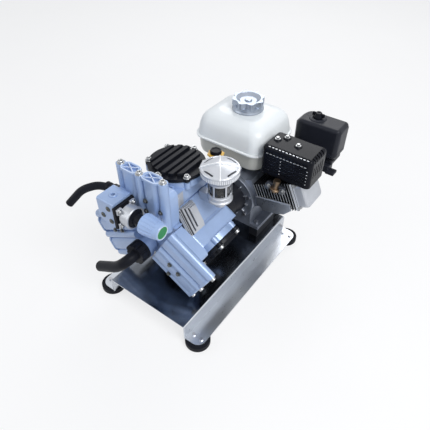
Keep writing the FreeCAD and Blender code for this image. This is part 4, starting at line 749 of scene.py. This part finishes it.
class Regulator(bpy.types.Operator):
    """Pressure regulator: bracket, bare ring, dark spring housing and its screws"""
    bl_idname = "fire_pump.regulator"
    bl_label = "Regulator"

    def execute(self, context):
        low, high = corners("regulator_barrel")
        start = Vector((low.x, (low.y + high.y) / 2, (low.z + high.z) / 2))
        behind = start - X_AXIS * 0.01
        half = (high.y - low.y) / 2
        thick = 0.0065
        ear = half - 0.0065

        plate = block((0, -half, -half), (thick, half, half), start)
        tools = [bar(0.0185, behind, X_AXIS, 0.03, 48)]
        for turn in range(4):
            side = Matrix.Rotation(math.radians(90 * turn), 3, "X") @ Vector((0, 0, half + 0.0040))
            tools.append(bar(0.0150, behind + side, X_AXIS, 0.03, 32))
        carve(plate, tools)
        settle(plate, "regulator_bracket", "machined", "regulator_barrel", hide=("regulator_barrel",),
               width=0.0014, segments=3)

        inner = half - 0.002
        back = block((0, -inner, -inner), (0.0025, inner, inner), start)
        carve(back, [bar(0.0184, behind, X_AXIS, 0.03, 48)])
        settle(back, "regulator_seal", "rubber", "regulator_gasket", width=0.0006)

        bare = turned([(19.2, 6), (27.6, 6), (27.6, 10), (28.6, 11), (28.6, 26), (29.4, 27), (29.4, 33),
                       (28.4, 34.5), (26.0, 34.5), (25.0, 33.5), (25.0, 18), (19.2, 18), (19.2, 6)],
                      start, X_AXIS, 64)
        settle(bare, "regulator_ring", "machined", "regulator_barrel")
        dark = turned([(6.4, 7), (19.0, 7), (19.0, 18.2), (24.8, 18.2), (24.8, 31), (22, 34), (17.2, 36),
                       (16, 38), (16, 56), (13.8, 58), (13.8, 61.5), (6.4, 61.5), (6.4, 7)], start, X_AXIS)
        settle(dark, "spring_housing", "black_gloss", "regulator_barrel")

        ears = [from_axis(start + Vector((thick, y, z)), X_AXIS) for y in (-ear, ear) for z in (-ear, ear)]
        settle(copies(socket_screw(4.6, 5.8), ears), "regulator_screws", "screw_steel", "machine_screws")

        low, high = corners("regulator_body")
        top = Vector(((low.x + high.x) / 2, (low.y + high.y) / 2 - 0.001, high.z))
        port = turned([(5.2, -1), (10.5, -1), (10.5, 1.6), (9.8, 2.2), (6.0, 2.2), (5.2, 1.6), (5.2, -1)],
                      top, steps=40)
        settle(port, "port_rim", None, "regulator_body")

        spots = ((low.x + 0.016, low.z + 0.022), (high.x - 0.014, low.z + 0.014),
                 (high.x - 0.018, high.z - 0.020))
        plugs = [from_axis((x, low.y, z), -Y_AXIS) for x, z in spots]
        settle(copies(socket_screw(5.2, 3.0), plugs), "regulator_plugs", "dark_screw", "regulator_body")
        return {"FINISHED"}


class PressureKnob(bpy.types.Operator):
    """Ribbed pressure knob with a disc in its end"""
    bl_idname = "fire_pump.pressure_knob"
    bl_label = "Pressure knob"

    def execute(self, context):
        node = "pressure_knob"
        start = middle(node)
        start.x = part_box(node)[1][0] - 0.057
        parts = [turned([(0, 0), (25.4, 0), (27.2, 1.4), (27.2, 6), (26.6, 7), (20.9, 55.4), (19.6, 57),
                         (18.2, 57), (17.9, 54.6), (0, 54.6)], start, X_AXIS, 96)]
        for turn in range(18):
            angle = math.radians(20 * turn)
            out = Vector((0, math.cos(angle), math.sin(angle)))
            foot = start + X_AXIS * 0.004 + out * 0.0268
            tip = start + X_AXIS * 0.043 + out * 0.0222
            parts.append(bar(0.0014, foot, tip - foot, (tip - foot).length, 10))
        settle(joined(parts), "pressure_knob_grip", None, node, hide=(node,))

        spindle = turned([(0, -14), (5.9, -14), (5.9, 1), (0, 1)], start, X_AXIS, 32)
        settle(spindle, "knob_spindle", "screw_steel", node)
        disc = turned([(0, 54), (16.6, 54), (16.6, 55.8), (15.8, 56.4), (0, 56.6)], start, X_AXIS, 64)
        settle(disc, "knob_disc", "disc_green", node)
        rim = turned([(16.6, 54.2), (17.9, 54.2), (17.9, 57.2), (17.4, 57.5), (16.6, 57.2), (16.6, 54.2)],
                     start, X_AXIS, 64)
        settle(rim, "knob_rim", "pale_plastic", node)
        return {"FINISHED"}


class OilCup(bpy.types.Operator):
    """Oil cup: slotted guard with its ridges, cage, glass and the oil inside"""
    bl_idname = "fire_pump.oil_cup"
    bl_label = "Oil cup"

    def execute(self, context):
        foot = middle("oil_cup_dome")
        foot.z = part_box("oil_cup_dome")[0][2]
        shell = turned([
            (28, 0), (37.5, 0), (38.5, 1), (39, 5), (44, 8), (47.5, 9), (48.5, 10), (48.5, 21), (50.5, 22),
            (50.5, 26), (49, 28), (45, 29), (44, 28.2), (29, 33.5), (13, 37), (11, 38), (0, 38.5), (0, 36),
            (14, 34), (42, 25), (46, 21), (46, 12), (36, 8), (28, 4), (28, 0)], foot, steps=96)
        slots = []
        for turn in (-99, -9, 81, 171):
            slots.append(block((0.0375, -0.0150, 0.020), (0.0420, 0.0150, 0.045), foot))
            slots[-1].data.transform(turn_about(foot, turn))
        carve(shell, slots)
        settle(shell, "oil_cup_guard", "polished_dome", "oil_cup_dome", hide=("oil_cup_dome",))

        outline = [(-50.5, 23), (-51.8, 26), (-48, 30.5), (-44, 31), (-29, 36.5), (-13, 40.2), (0, 41.5),
                   (13, 40.2), (29, 36.5), (44, 31), (48, 30.5), (51.8, 26), (50.5, 23), (30, 28), (0, 34),
                   (-30, 28)]
        ridges = []
        for turn in (-54, 36):
            ridge = sheet_of([Vector((x * MM, -0.0013, z * MM)) for x, z in outline], (0, 0.0026, 0))
            ridge.data.transform(Matrix.Translation(foot) @ turn_about(ORIGIN, turn))
            ridges.append(ridge)
        places = around(foot + Z_AXIS * 0.0105, 0.0484, 60)
        knurl = copies(bar(0.0011, ORIGIN, Z_AXIS, 0.0110, 8), at(places))
        # Ridges and knurl of the dome in the pale copy of its metal: painted highlight
        settle(joined(ridges + [knurl]), "oil_cup_ridges", "bright_edge", "oil_cup_dome")

        floor = Vector((foot.x, foot.y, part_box("oil_cup_glass")[0][2] - 0.008))
        tall = (foot.z - floor.z) / MM
        cage = turned([(0, 0), (33, 0), (34, 1), (34, 4), (33, 5.5), (31, 6.5), (31, 13), (32, 14), (32, 17),
                       (31, 18), (31, tall - 9), (33, tall - 7), (34.5, tall - 3), (38, tall + 1),
                       (38, tall + 3), (27.5, tall + 3), (27.5, 8), (0, 8)], floor, steps=72)
        windows = []
        for turn in (-54, 6, 66, 126, 186, 246):
            windows.append(block((0.020, -0.0130, 0.0225), (0.045, 0.0130, 0.0545), floor))
            windows[-1].data.transform(turn_about(floor, turn))
        carve(cage, windows)
        base = corners("oil_cup_base")[0]
        foot_arm = block((base.x, floor.y - 0.012, base.z), floor + Vector((0.012, 0.012, 0.003)))
        round_edges(foot_arm, 0.003, 3)
        stem = turned([(0, -22), (15, -22), (17, -20), (17, -12), (28, -3), (30, 0), (0, 0)], floor, steps=56)
        settle(joined([cage, stem, foot_arm]), "oil_cup_cage", "polished_dome", "oil_cup_base",
               hide=("oil_cup_base",), width=0.0006)
        glass = turned([(0, 8.3), (27, 8.3), (27, tall), (24.5, tall), (24.5, 10.5), (0, 10.5)],
                       floor, steps=56)
        settle(glass, "cup_glass", "cup_glass", "oil_cup_glass", hide=("oil_cup_glass",))
        oil = turned([(0, 11), (24.2, 11), (24.2, 43), (0, 43)], floor)
        settle(oil, "cup_oil", "oil", "oil_cup_glass")
        return {"FINISHED"}


class OilFiller(bpy.types.Operator):
    """Yellow collar and black cap of the gearbox filler"""
    bl_idname = "fire_pump.oil_filler"
    bl_label = "Oil filler"

    def execute(self, context):
        foot = middle("oil_filler_neck")
        foot.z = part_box("oil_filler_neck")[0][2]
        collar = turned([(6.1, 0), (9, 0), (9, 37), (12, 40), (18, 41), (21, 42), (22, 43), (22, 46.5),
                         (20.5, 48), (6.1, 48), (6.1, 0)], foot)
        places = around(foot + Z_AXIS * 0.0425, 0.0212, 8)
        tabs = copies(bar(0.0030, ORIGIN, Z_AXIS, 0.0050, 12), at(places))
        settle(joined([collar, tabs]), "filler_collar", None, "oil_filler_neck", hide=("oil_filler_neck",))
        cap = turned([(0, 24), (5.9, 24), (5.9, 48.4), (14.5, 48.4), (15.3, 49), (15.3, 57), (14, 59),
                      (11, 59), (10, 57.4), (0, 57.4)], foot)
        places = around(foot + Z_AXIS * 0.0490, 0.0151, 12)
        grips = copies(bar(0.0014, ORIGIN, Z_AXIS, 0.0072, 10), at(places))
        settle(joined([cap, grips]), "filler_cap", "black_gloss", "oil_filler_cap", hide=("oil_filler_cap",))
        return {"FINISHED"}


# ------------------------------------------------------------------ engine pieces
class HeatShield(bpy.types.Operator):
    """Gloss black guard over the silencer, with its slots, bosses and screws"""
    bl_idname = "fire_pump.heat_shield"
    bl_label = "Heat shield"

    def execute(self, context):
        low, high = corners("heat_shield")
        wide = high.x - low.x
        shell = block(low, high)
        edit_only(shell, "polygons", lambda face: face.normal.z < -0.9)
        bpy.ops.mesh.delete(type="FACE")
        bpy.ops.object.mode_set(mode="OBJECT")
        round_edges(shell, 0.0125, 5, 50)
        wall = shell.modifiers.new("wall", "SOLIDIFY")
        wall.thickness = 0.0018
        wall.offset = -1
        apply_modifiers(shell)

        def front(x, y, z, x_end, y_end, z_end):
            """A block measured from the front edge of the guard's top."""
            return block((low.x + x, low.y + y, high.z + z), (low.x + x_end, low.y + y_end, high.z + z_end))

        columns = [0.016 + i * (wide - 0.038) / 11 for i in range(12)]
        row_step = 0.0105
        tools = []
        for x in columns:
            tools.append(front(x, -0.004, -0.0215, x + 0.0055, 0.008, -0.0170))
            tools.append(front(x + 0.003, 0.006, -0.008, x + 0.008, 0.0105, 0.004))
        for left, right in ((0.016, 0.058), (0.064, 0.104), (0.110, 0.138)):
            for row in range(5):
                z = -0.034 - row * row_step
                tools.append(front(left, -0.004, z, right, 0.004, z + 0.0022))
        for i in range(5):
            y = 0.016 + i * 0.0125
            tools.append(front(wide - 0.011, y, -0.0120, wide + 0.004, y + 0.0050, 0.004))
            tools.append(front(wide - 0.004, y, -0.060, wide + 0.004, y + 0.0050, -0.026))
        carve(shell, [joined(tools)])
        settle(shell, "heat_guard", "black_gloss", "heat_shield", hide=("heat_shield",))

        # Thin pale strips along the slot edges are painted highlights: the light caught by the edges of the
        # slots
        edges = []
        for x in columns:
            edges.append(front(x - 0.0006, -0.0007, -0.0225, x + 0.0061, 0.0006, -0.0214))
            edges.append(front(x + 0.0024, 0.0045, -0.0036, x + 0.0086, 0.0062, -0.0018))
        for x in (0.060, 0.140):
            for row in range(5):
                z = -0.0335 - row * row_step
                edges.append(front(x, -0.0007, z, x + 0.0030, 0.0004, z + 0.0016))
        settle(joined(edges), "guard_slot_edges", "bright_edge", "heat_shield", width=0.0002, segments=1)

        spots = [Vector((low.x + wide * share, low.y + y, high.z))
                 for share, y in ((0.15, 0.045), (0.27, 0.066), (0.56, 0.047))]
        boss = turned([(0, -1), (11.5, -1), (11.5, 0.6), (9, 2.8), (0, 2.8)], ORIGIN, steps=40)
        settle(copies(boss, at(spots)), "guard_bosses", "black_gloss", "heat_shield")
        heads = at([place + Z_AXIS * 0.0028 for place in spots])
        settle(copies(hex_screw(8.8, 6.2), heads), "guard_screws", "screw_steel", "machine_screws")
        return {"FINISHED"}


class ExhaustPipe(bpy.types.Operator):
    """Short exhaust pipe with its flange, and the screws of the cylinder head"""
    bl_idname = "fire_pump.exhaust_pipe"
    bl_label = "Exhaust pipe"

    def execute(self, context):
        foot = deck(166, (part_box("engine_cylinder")[0][1] - DECK.y) / MM, 240)
        pipe = turned([(0, -4), (14, -4), (15, -3), (15, 3), (14, 4), (9.5, 4), (9, 6), (9, 15), (10, 18),
                       (10, 30), (0, 30)], foot + Vector((0, -0.012, -0.004)), (0.1, 0.12, 1), 40)
        settle(pipe, "exhaust_elbow", "burnt_steel", "muffler")
        flange = block((-0.030, -0.0125, -0.014), (0.030, 0.0005, 0.010), foot)
        settle(flange, "exhaust_flange", "dark_casting", "engine_cylinder",
               width=0.004, segments=3)
        heads = [from_axis(foot + Vector((x, -0.0125, -0.002)), -Y_AXIS) for x in (-0.023, 0.023)]
        settle(copies(hex_screw(12.0, 7.5), heads), "head_screws", "screw_steel", "machine_screws")
        return {"FINISHED"}


def rounded_outline(centre, half_x, half_y, corner, z):
    """A rectangle with round corners, as points."""
    points = []
    parts = 8
    for turn, (sx, sy) in enumerate(((1, 1), (-1, 1), (-1, -1), (1, -1))):
        hub = Vector((centre.x + sx * (half_x - corner), centre.y + sy * (half_y - corner), z))
        for step in range(parts + 1):
            angle = math.radians(90 * turn + 90 * step / parts)
            points.append(hub + corner * Vector((math.cos(angle), math.sin(angle), 0)))
    return points


def stacked(centre, half_x, half_y, corner, levels):
    """A closed form built up from (height, inset) levels of one rounded rectangle."""
    low, inset = levels[0]
    top = levels[1][0]
    piece = sheet_of(rounded_outline(centre, half_x - inset, half_y - inset, corner, low), (0, 0, top - low))
    edit_only(piece, "polygons", lambda face: face.normal.z > 0.9 and face.center.z > top - MERGE)
    for number, (height, next_inset) in enumerate(levels[1:]):
        if number:
            extrude((0, 0, height - top))
        grow = ((half_x - next_inset) / (half_x - inset), (half_y - next_inset) / (half_y - inset), 1)
        bpy.ops.transform.resize(value=grow, center_override=(centre.x, centre.y, height))
        top = height
        inset = next_inset
    bpy.ops.object.mode_set(mode="OBJECT")
    return piece


class FuelTank(bpy.types.Operator):
    """Pressed fuel tank: domed upper half, seam flange and lower half"""
    bl_idname = "fire_pump.fuel_tank"
    bl_label = "Fuel tank"

    def execute(self, context):
        low, high = corners("fuel_tank")
        half_x = (high.x - low.x) / 2 + 0.004
        half_y = (high.y - low.y) / 2 + 0.004
        foot = middle("fuel_cap")
        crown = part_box("fuel_cap")[0][2] - 0.0003
        foot.z = crown
        seam = low.z + 0.0630
        levels = [(low.z, 0.026), (low.z + 0.002, 0.018), (low.z + 0.007, 0.0125), (low.z + 0.018, 0.0095),
                  (seam - 0.003, 0.0070), (seam - 0.0028, 0.0), (seam + 0.0012, 0.0), (seam + 0.0020, 0.0010),
                  (seam + 0.0024, 0.0050), (seam + 0.016, 0.0064), (seam + 0.034, 0.0092),
                  (seam + 0.050, 0.0140), (seam + 0.060, 0.0205), (seam + 0.0665, 0.0290),
                  (seam + 0.0710, 0.0400), (crown - 0.0008, 0.0520), (crown, 0.0580)]
        neck = turned([(26.5, -2), (30.5, -2), (30.5, 11), (29.5, 12), (26.5, 12), (26.5, -2)],
                      foot, steps=56)
        piece = joined([stacked((low + high) / 2, half_x, half_y, 0.034, levels), neck])
        settle(piece, "fuel_tank_shell", "tank_paint", "fuel_tank", hide=("fuel_tank",))
        piece.data.materials.append(MATERIALS["tank_foot"])
        piece.data.materials.append(MATERIALS["tank_seam"])
        # Faces below the seam get the painted shade copy of the tank paint
        for face in piece.data.polygons:
            if face.center.z < seam - 0.0028:
                face.material_index = 1
            # Faces of the seam flange get the painted highlight copy of the tank paint
            elif face.center.z < seam + 0.0022:
                face.material_index = 2
        return {"FINISHED"}


class FuelCap(bpy.types.Operator):
    """Scalloped fuel cap"""
    bl_idname = "fire_pump.fuel_cap"
    bl_label = "Fuel cap"

    def execute(self, context):
        low, high = corners("fuel_cap")
        foot = middle("fuel_cap")
        foot.z = low.z + 0.0003
        tall = high.z - foot.z
        band = turned([(31.4, 0), (46.0, 0), (47.0, 1.0), (47.0, 4.0), (44.5, 6.0), (43.5, 13.5),
                       (45.5, 15.0), (45.5, 17.0), (31.4, 17.0), (31.4, 0)], foot, steps=80)
        outline = []
        for i in range(96):
            angle = math.radians(3.75 * i)
            radius = 0.0445 + 0.0038 * math.cos(8 * angle)
            outline.append(foot + Vector((radius * math.cos(angle), radius * math.sin(angle), 0.0160)))
        crown = sheet_of(outline, (0, 0, tall - 0.0160))
        rise = tall / MM
        carve(crown, [turned([(0, 0), (24.5, 0), (36.0, rise - 27), (37.5, rise), (0, rise)],
                             foot + Z_AXIS * 0.0260, steps=64)])
        round_edges(crown, 0.0011)
        settle(joined([band, crown]), "fuel_cap_finish", None, "fuel_cap", hide=("fuel_cap",))
        hub = turned([(0, 25.5), (11.0, 25.5), (11.0, 28.5), (9.5, 30.0), (0, 30.0)], foot)
        settle(hub, "fuel_cap_hub", None, "fuel_cap")
        return {"FINISHED"}


class AirCleaner(bpy.types.Operator):
    """Air cleaner cover with its round hump, seam and wing knob"""
    bl_idname = "fire_pump.air_cleaner"
    bl_label = "Air cleaner"

    def execute(self, context):
        low, high = corners("air_cleaner_cover")
        shell = block(low, high)
        for side, width, parts in ((low.x, 0.034, 10), (high.x, 0.014, 6)):

            def upright(edge):
                """Whether an edge stands upright on this side."""
                one, other = (shell.data.vertices[i].co for i in edge.vertices)
                near = max(abs(one.x - side), abs(other.x - side)) < MERGE
                return near and abs(one.z - other.z) > 0.05

            edit_only(shell, "edges", upright)
            bpy.ops.mesh.bevel(offset=width, segments=parts, affect="EDGES")
            bpy.ops.object.mode_set(mode="OBJECT")
        bottom = low.z + 0.0220
        top = low.z + 0.0236
        seam = joined([block((low.x - 0.01, low.y - 0.01, bottom), (high.x + 0.01, low.y + 0.0012, top)),
                       block((high.x - 0.0012, low.y + 0.002, bottom), (high.x + 0.01, high.y + 0.01, top))])
        round_edges(shell, 0.0095, 4, 50)
        carve(shell, [seam])
        settle(shell, "air_cleaner_case", "case_plastic", "air_cleaner_cover", hide=("air_cleaner_cover",))

        stud = middle("air_cleaner_knob")
        stud.z = high.z - 0.002
        seat = turned([(9, 0), (27, 0), (26, 3.2), (22, 5.0), (17, 5.4), (15.5, 4.6), (15, 2.2),
                       (9, 2.2), (9, 0)], stud, steps=56)
        settle(seat, "knob_seat", "case_plastic", "air_cleaner_cover")
        grip = turned([(4.2, 2.6), (12.5, 2.6), (13.5, 3.6), (13.5, 9), (11, 12), (10, 19), (8.5, 20.6),
                       (4.2, 20.6), (4.2, 2.6)], stud, steps=40)
        wings = block((-0.0195, -0.0036, 0.008), (0.0195, 0.0036, 0.0195), stud)
        round_edges(wings, 0.0028, 3)
        settle(joined([grip, wings]), "wing_knob", "black_gloss", "air_cleaner_knob",
               hide=("air_cleaner_knob",))
        return {"FINISHED"}


class EngineFittings(bpy.types.Operator):
    """Side cover ribs, rocker cover screws and flange, and the throttle rod with its spring"""
    bl_idname = "fire_pump.engine_fittings"
    bl_label = "Engine fittings"

    def execute(self, context):
        centre = Vector((ENGINE_AXIS.x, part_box("engine_side_cover")[0][1], ENGINE_AXIS.z))
        spins = [Matrix.Rotation(math.radians(30 * i + 5), 4, "Y") for i in range(12)]
        rib = block((0.040, -0.0045, -0.0018), (0.064, 0.0005, 0.0018))
        ribs = copies(rib, [Matrix.Translation(centre) @ spin for spin in spins])
        ring = turned([(34, -0.5), (42, -0.5), (41, 5), (36, 5), (34, -0.5)], centre, -Y_AXIS, 64)
        settle(joined([ribs, ring]), "side_cover_ribs", "cast_aluminium", "engine_side_cover", width=0.0008)

        root = Matrix.Translation(ENGINE_AXIS) @ Matrix.Rotation(math.radians(65), 4, "Y")
        heads = [root @ Matrix.Translation((u, DECK.y + y, 0.2245)) for u in (-0.0235, 0.0455)
                 for y in (0.4105, 0.4935)]
        settle(copies(hex_screw(10.0, 7.0), heads), "rocker_screws", "screw_steel", "machine_screws")
        lip = block((-0.0300, DECK.y + 0.4050, 0.2225), (0.0520, DECK.y + 0.4990, 0.2265))
        lip.data.transform(root)
        settle(lip, "rocker_flange", "bare_aluminium", "rocker_cover", width=0.0015)

        low, high = corners("carburettor")
        near = Vector((middle("throttle_lever").x, low.y + 0.018, high.z - 0.010))
        far = Vector((high.x - 0.006, low.y + 0.020, high.z - 0.016))
        bends = [near, near + Vector((0, 0, 0.007)), near + Vector((0.012, 0, 0.011)),
                 far + Vector((-0.010, 0, 0.011)), far + Vector((0, 0, 0.008)), far]
        runs = [bar(0.0013, start, end - start, (end - start).length + 0.0006, 12)
                for start, end in zip(bends, bends[1:])]
        eye = turned([(2.0, -1.2), (4.2, -1.2), (4.4, -0.8), (4.4, 0.8), (4.2, 1.2), (2.0, 1.2), (2.0, -1.2)],
                     ORIGIN, steps=24)
        eyes = copies(eye, at([near, far]))
        coil = turned([(2.4, -0.6), (3.6, -0.6), (3.6, 0.6), (2.4, 0.6), (2.4, -0.6)], ORIGIN, X_AXIS, 20)
        along = bends[3] - bends[2]
        coils = copies(coil, at([bends[2] + along * (0.15 + 0.7 * i / 13) for i in range(14)]))
        settle(joined(runs + [eyes, coils]), "throttle_rod", "screw_steel", "machine_screws")
        return {"FINISHED"}


class StarterCover(bpy.types.Operator):
    """Middle boss, rim and screws of the recoil starter"""
    bl_idname = "fire_pump.starter_cover"
    bl_label = "Starter cover"

    def execute(self, context):
        centre = Vector((ENGINE_AXIS.x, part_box("fan_shroud")[1][1], ENGINE_AXIS.z))
        boss = turned([(0, -2), (29, -2), (29, 0.4), (27.4, 2.0), (23.6, 2.2), (22.6, 1.2), (9, 1.2),
                       (8.2, 2.0), (0, 2.2)], centre, Y_AXIS, 64)
        lip = turned([(70.5, -2), (76.5, -2), (76.0, 0.9), (74.8, 1.5), (72.2, 1.5), (71.0, 0.9), (70.5, -2)],
                     centre, Y_AXIS, 96)
        settle(joined([boss, lip]), "starter_boss", "case_plastic", "fan_shroud")
        flange = centre - Y_AXIS * 0.050
        heads = []
        for turn in (20, 155, 215, 270, 325):
            angle = math.radians(turn)
            out = Vector((math.cos(angle), 0, math.sin(angle)))
            heads.append(from_axis(flange + 0.0865 * out, Y_AXIS))
        settle(copies(hex_screw(9.0, 5.5), heads), "starter_screws", "screw_steel", "machine_screws")
        return {"FINISHED"}


class TrayFinish(bpy.types.Operator):
    """Tray with bright brushed walls and flanges, its deck top in a darker metal colour as a painted dark
    reflection
    """
    bl_idname = "fire_pump.tray_finish"
    bl_label = "Tray"

    def execute(self, context):
        piece = softened("tray", sizes().sheet_edge)
        piece.data.materials.append(MATERIALS["deck_sheet"])
        # Deck top faces get the painted dark reflection
        for face in piece.data.polygons:
            if face.normal.z > 0.9 and face.center.z > TRAY_HIGH[2] - 0.004:
                face.material_index = 1
        return {"FINISHED"}


class FinHighlights(bpy.types.Operator):
    """Painted highlights on the front ends of the cylinder's fins"""
    bl_idname = "fire_pump.fin_edges"
    bl_label = "Fin ends"

    def execute(self, context):
        piece = bpy.data.objects["engine_cylinder_finish"]
        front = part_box("engine_cylinder")[0][1]
        piece.data.materials.append(MATERIALS["bright_edge"])
        for face in piece.data.polygons:
            # Front-facing fin ends take the painted highlight material
            if face.normal.y < -0.95 and face.center.y < front + 0.002:
                face.material_index = 1
        return {"FINISHED"}


class CylinderPlate(bpy.types.Operator):
    """Bare sheet guide under the cylinder, and the air cleaner's lower bracket"""
    bl_idname = "fire_pump.cylinder_plate"
    bl_label = "Cylinder plate"

    def execute(self, context):
        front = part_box("engine_cylinder")[0][1] - 0.003
        outline = [(102, 172), (150, 186), (214, 196), (222, 176), (200, 150), (166, 137), (132, 132),
                   (108, 146)]
        points = [Vector((DECK.x + x * MM, front, DECK.z + z * MM)) for x, z in outline]
        plate = sheet_of(points, (0, -0.0016, 0))
        lip = bar(0.0032, (DECK.x + 0.104, front, DECK.z + 0.170), (112, 0, 24), 0.114, 20)
        settle(joined([plate, lip]), "cylinder_guide", "bare_aluminium", "rocker_cover", width=0.0005)

        low, high = corners("air_cleaner_base")
        tray = block((low.x + 0.002, low.y, low.z - 0.016), (high.x - 0.002, high.y, low.z + 0.001))
        round_edges(tray, 0.005, 3)
        edge = Vector((high.x, low.y, low.z))
        arm = block((-0.030, -0.014, -0.036), (-0.004, 0.020, -0.010), edge)
        round_edges(arm, 0.004, 3)
        toe = block((-0.012, -0.018, -0.036), (0.016, 0.010, -0.026), edge)
        round_edges(toe, 0.003, 3)
        settle(joined([tray, arm, toe]), "air_cleaner_bracket", "case_plastic", "air_cleaner_base")
        return {"FINISHED"}


class FirePumpPanel(bpy.types.Panel):
    """List of the set's pieces"""
    bl_idname = "VIEW3D_PT_fire_pump"
    bl_label = "Fire Pump"
    bl_space_type = "VIEW_3D"
    bl_region_type = "UI"
    bl_category = "Fire Pump"

    def draw(self, context):
        for operator in OPERATORS:
            self.layout.operator(operator.bl_idname)


OPERATORS = (
    SetStage, PlainNodes, SoftCastings, CoverScrews, ChamberEnds, MachinedSteps, Regulator, PressureKnob,
    OilCup, OilFiller, HeatShield, ExhaustPipe, FuelTank, FuelCap, AirCleaner, EngineFittings,
    StarterCover, TrayFinish, FinHighlights, CylinderPlate,
)
CLASSES = (PumpFinish, PumpSizes) + OPERATORS + (FirePumpPanel,)


def register():
    """Add the classes and their settings."""
    for cls in CLASSES:
        bpy.utils.register_class(cls)
    bpy.types.Scene.pump_finish = bpy.props.PointerProperty(type=PumpFinish)
    bpy.types.Scene.pump_sizes = bpy.props.PointerProperty(type=PumpSizes)


def unregister():
    """Take the classes and their settings away."""
    del bpy.types.Scene.pump_sizes
    del bpy.types.Scene.pump_finish
    for cls in reversed(CLASSES):
        bpy.utils.unregister_class(cls)


def main():
    """Build every piece."""
    register()
    make_materials()
    for operator in OPERATORS:
        group, name = operator.bl_idname.split(".")
        getattr(getattr(bpy.ops, group), name)()


if __name__ == "__main__":
    main()
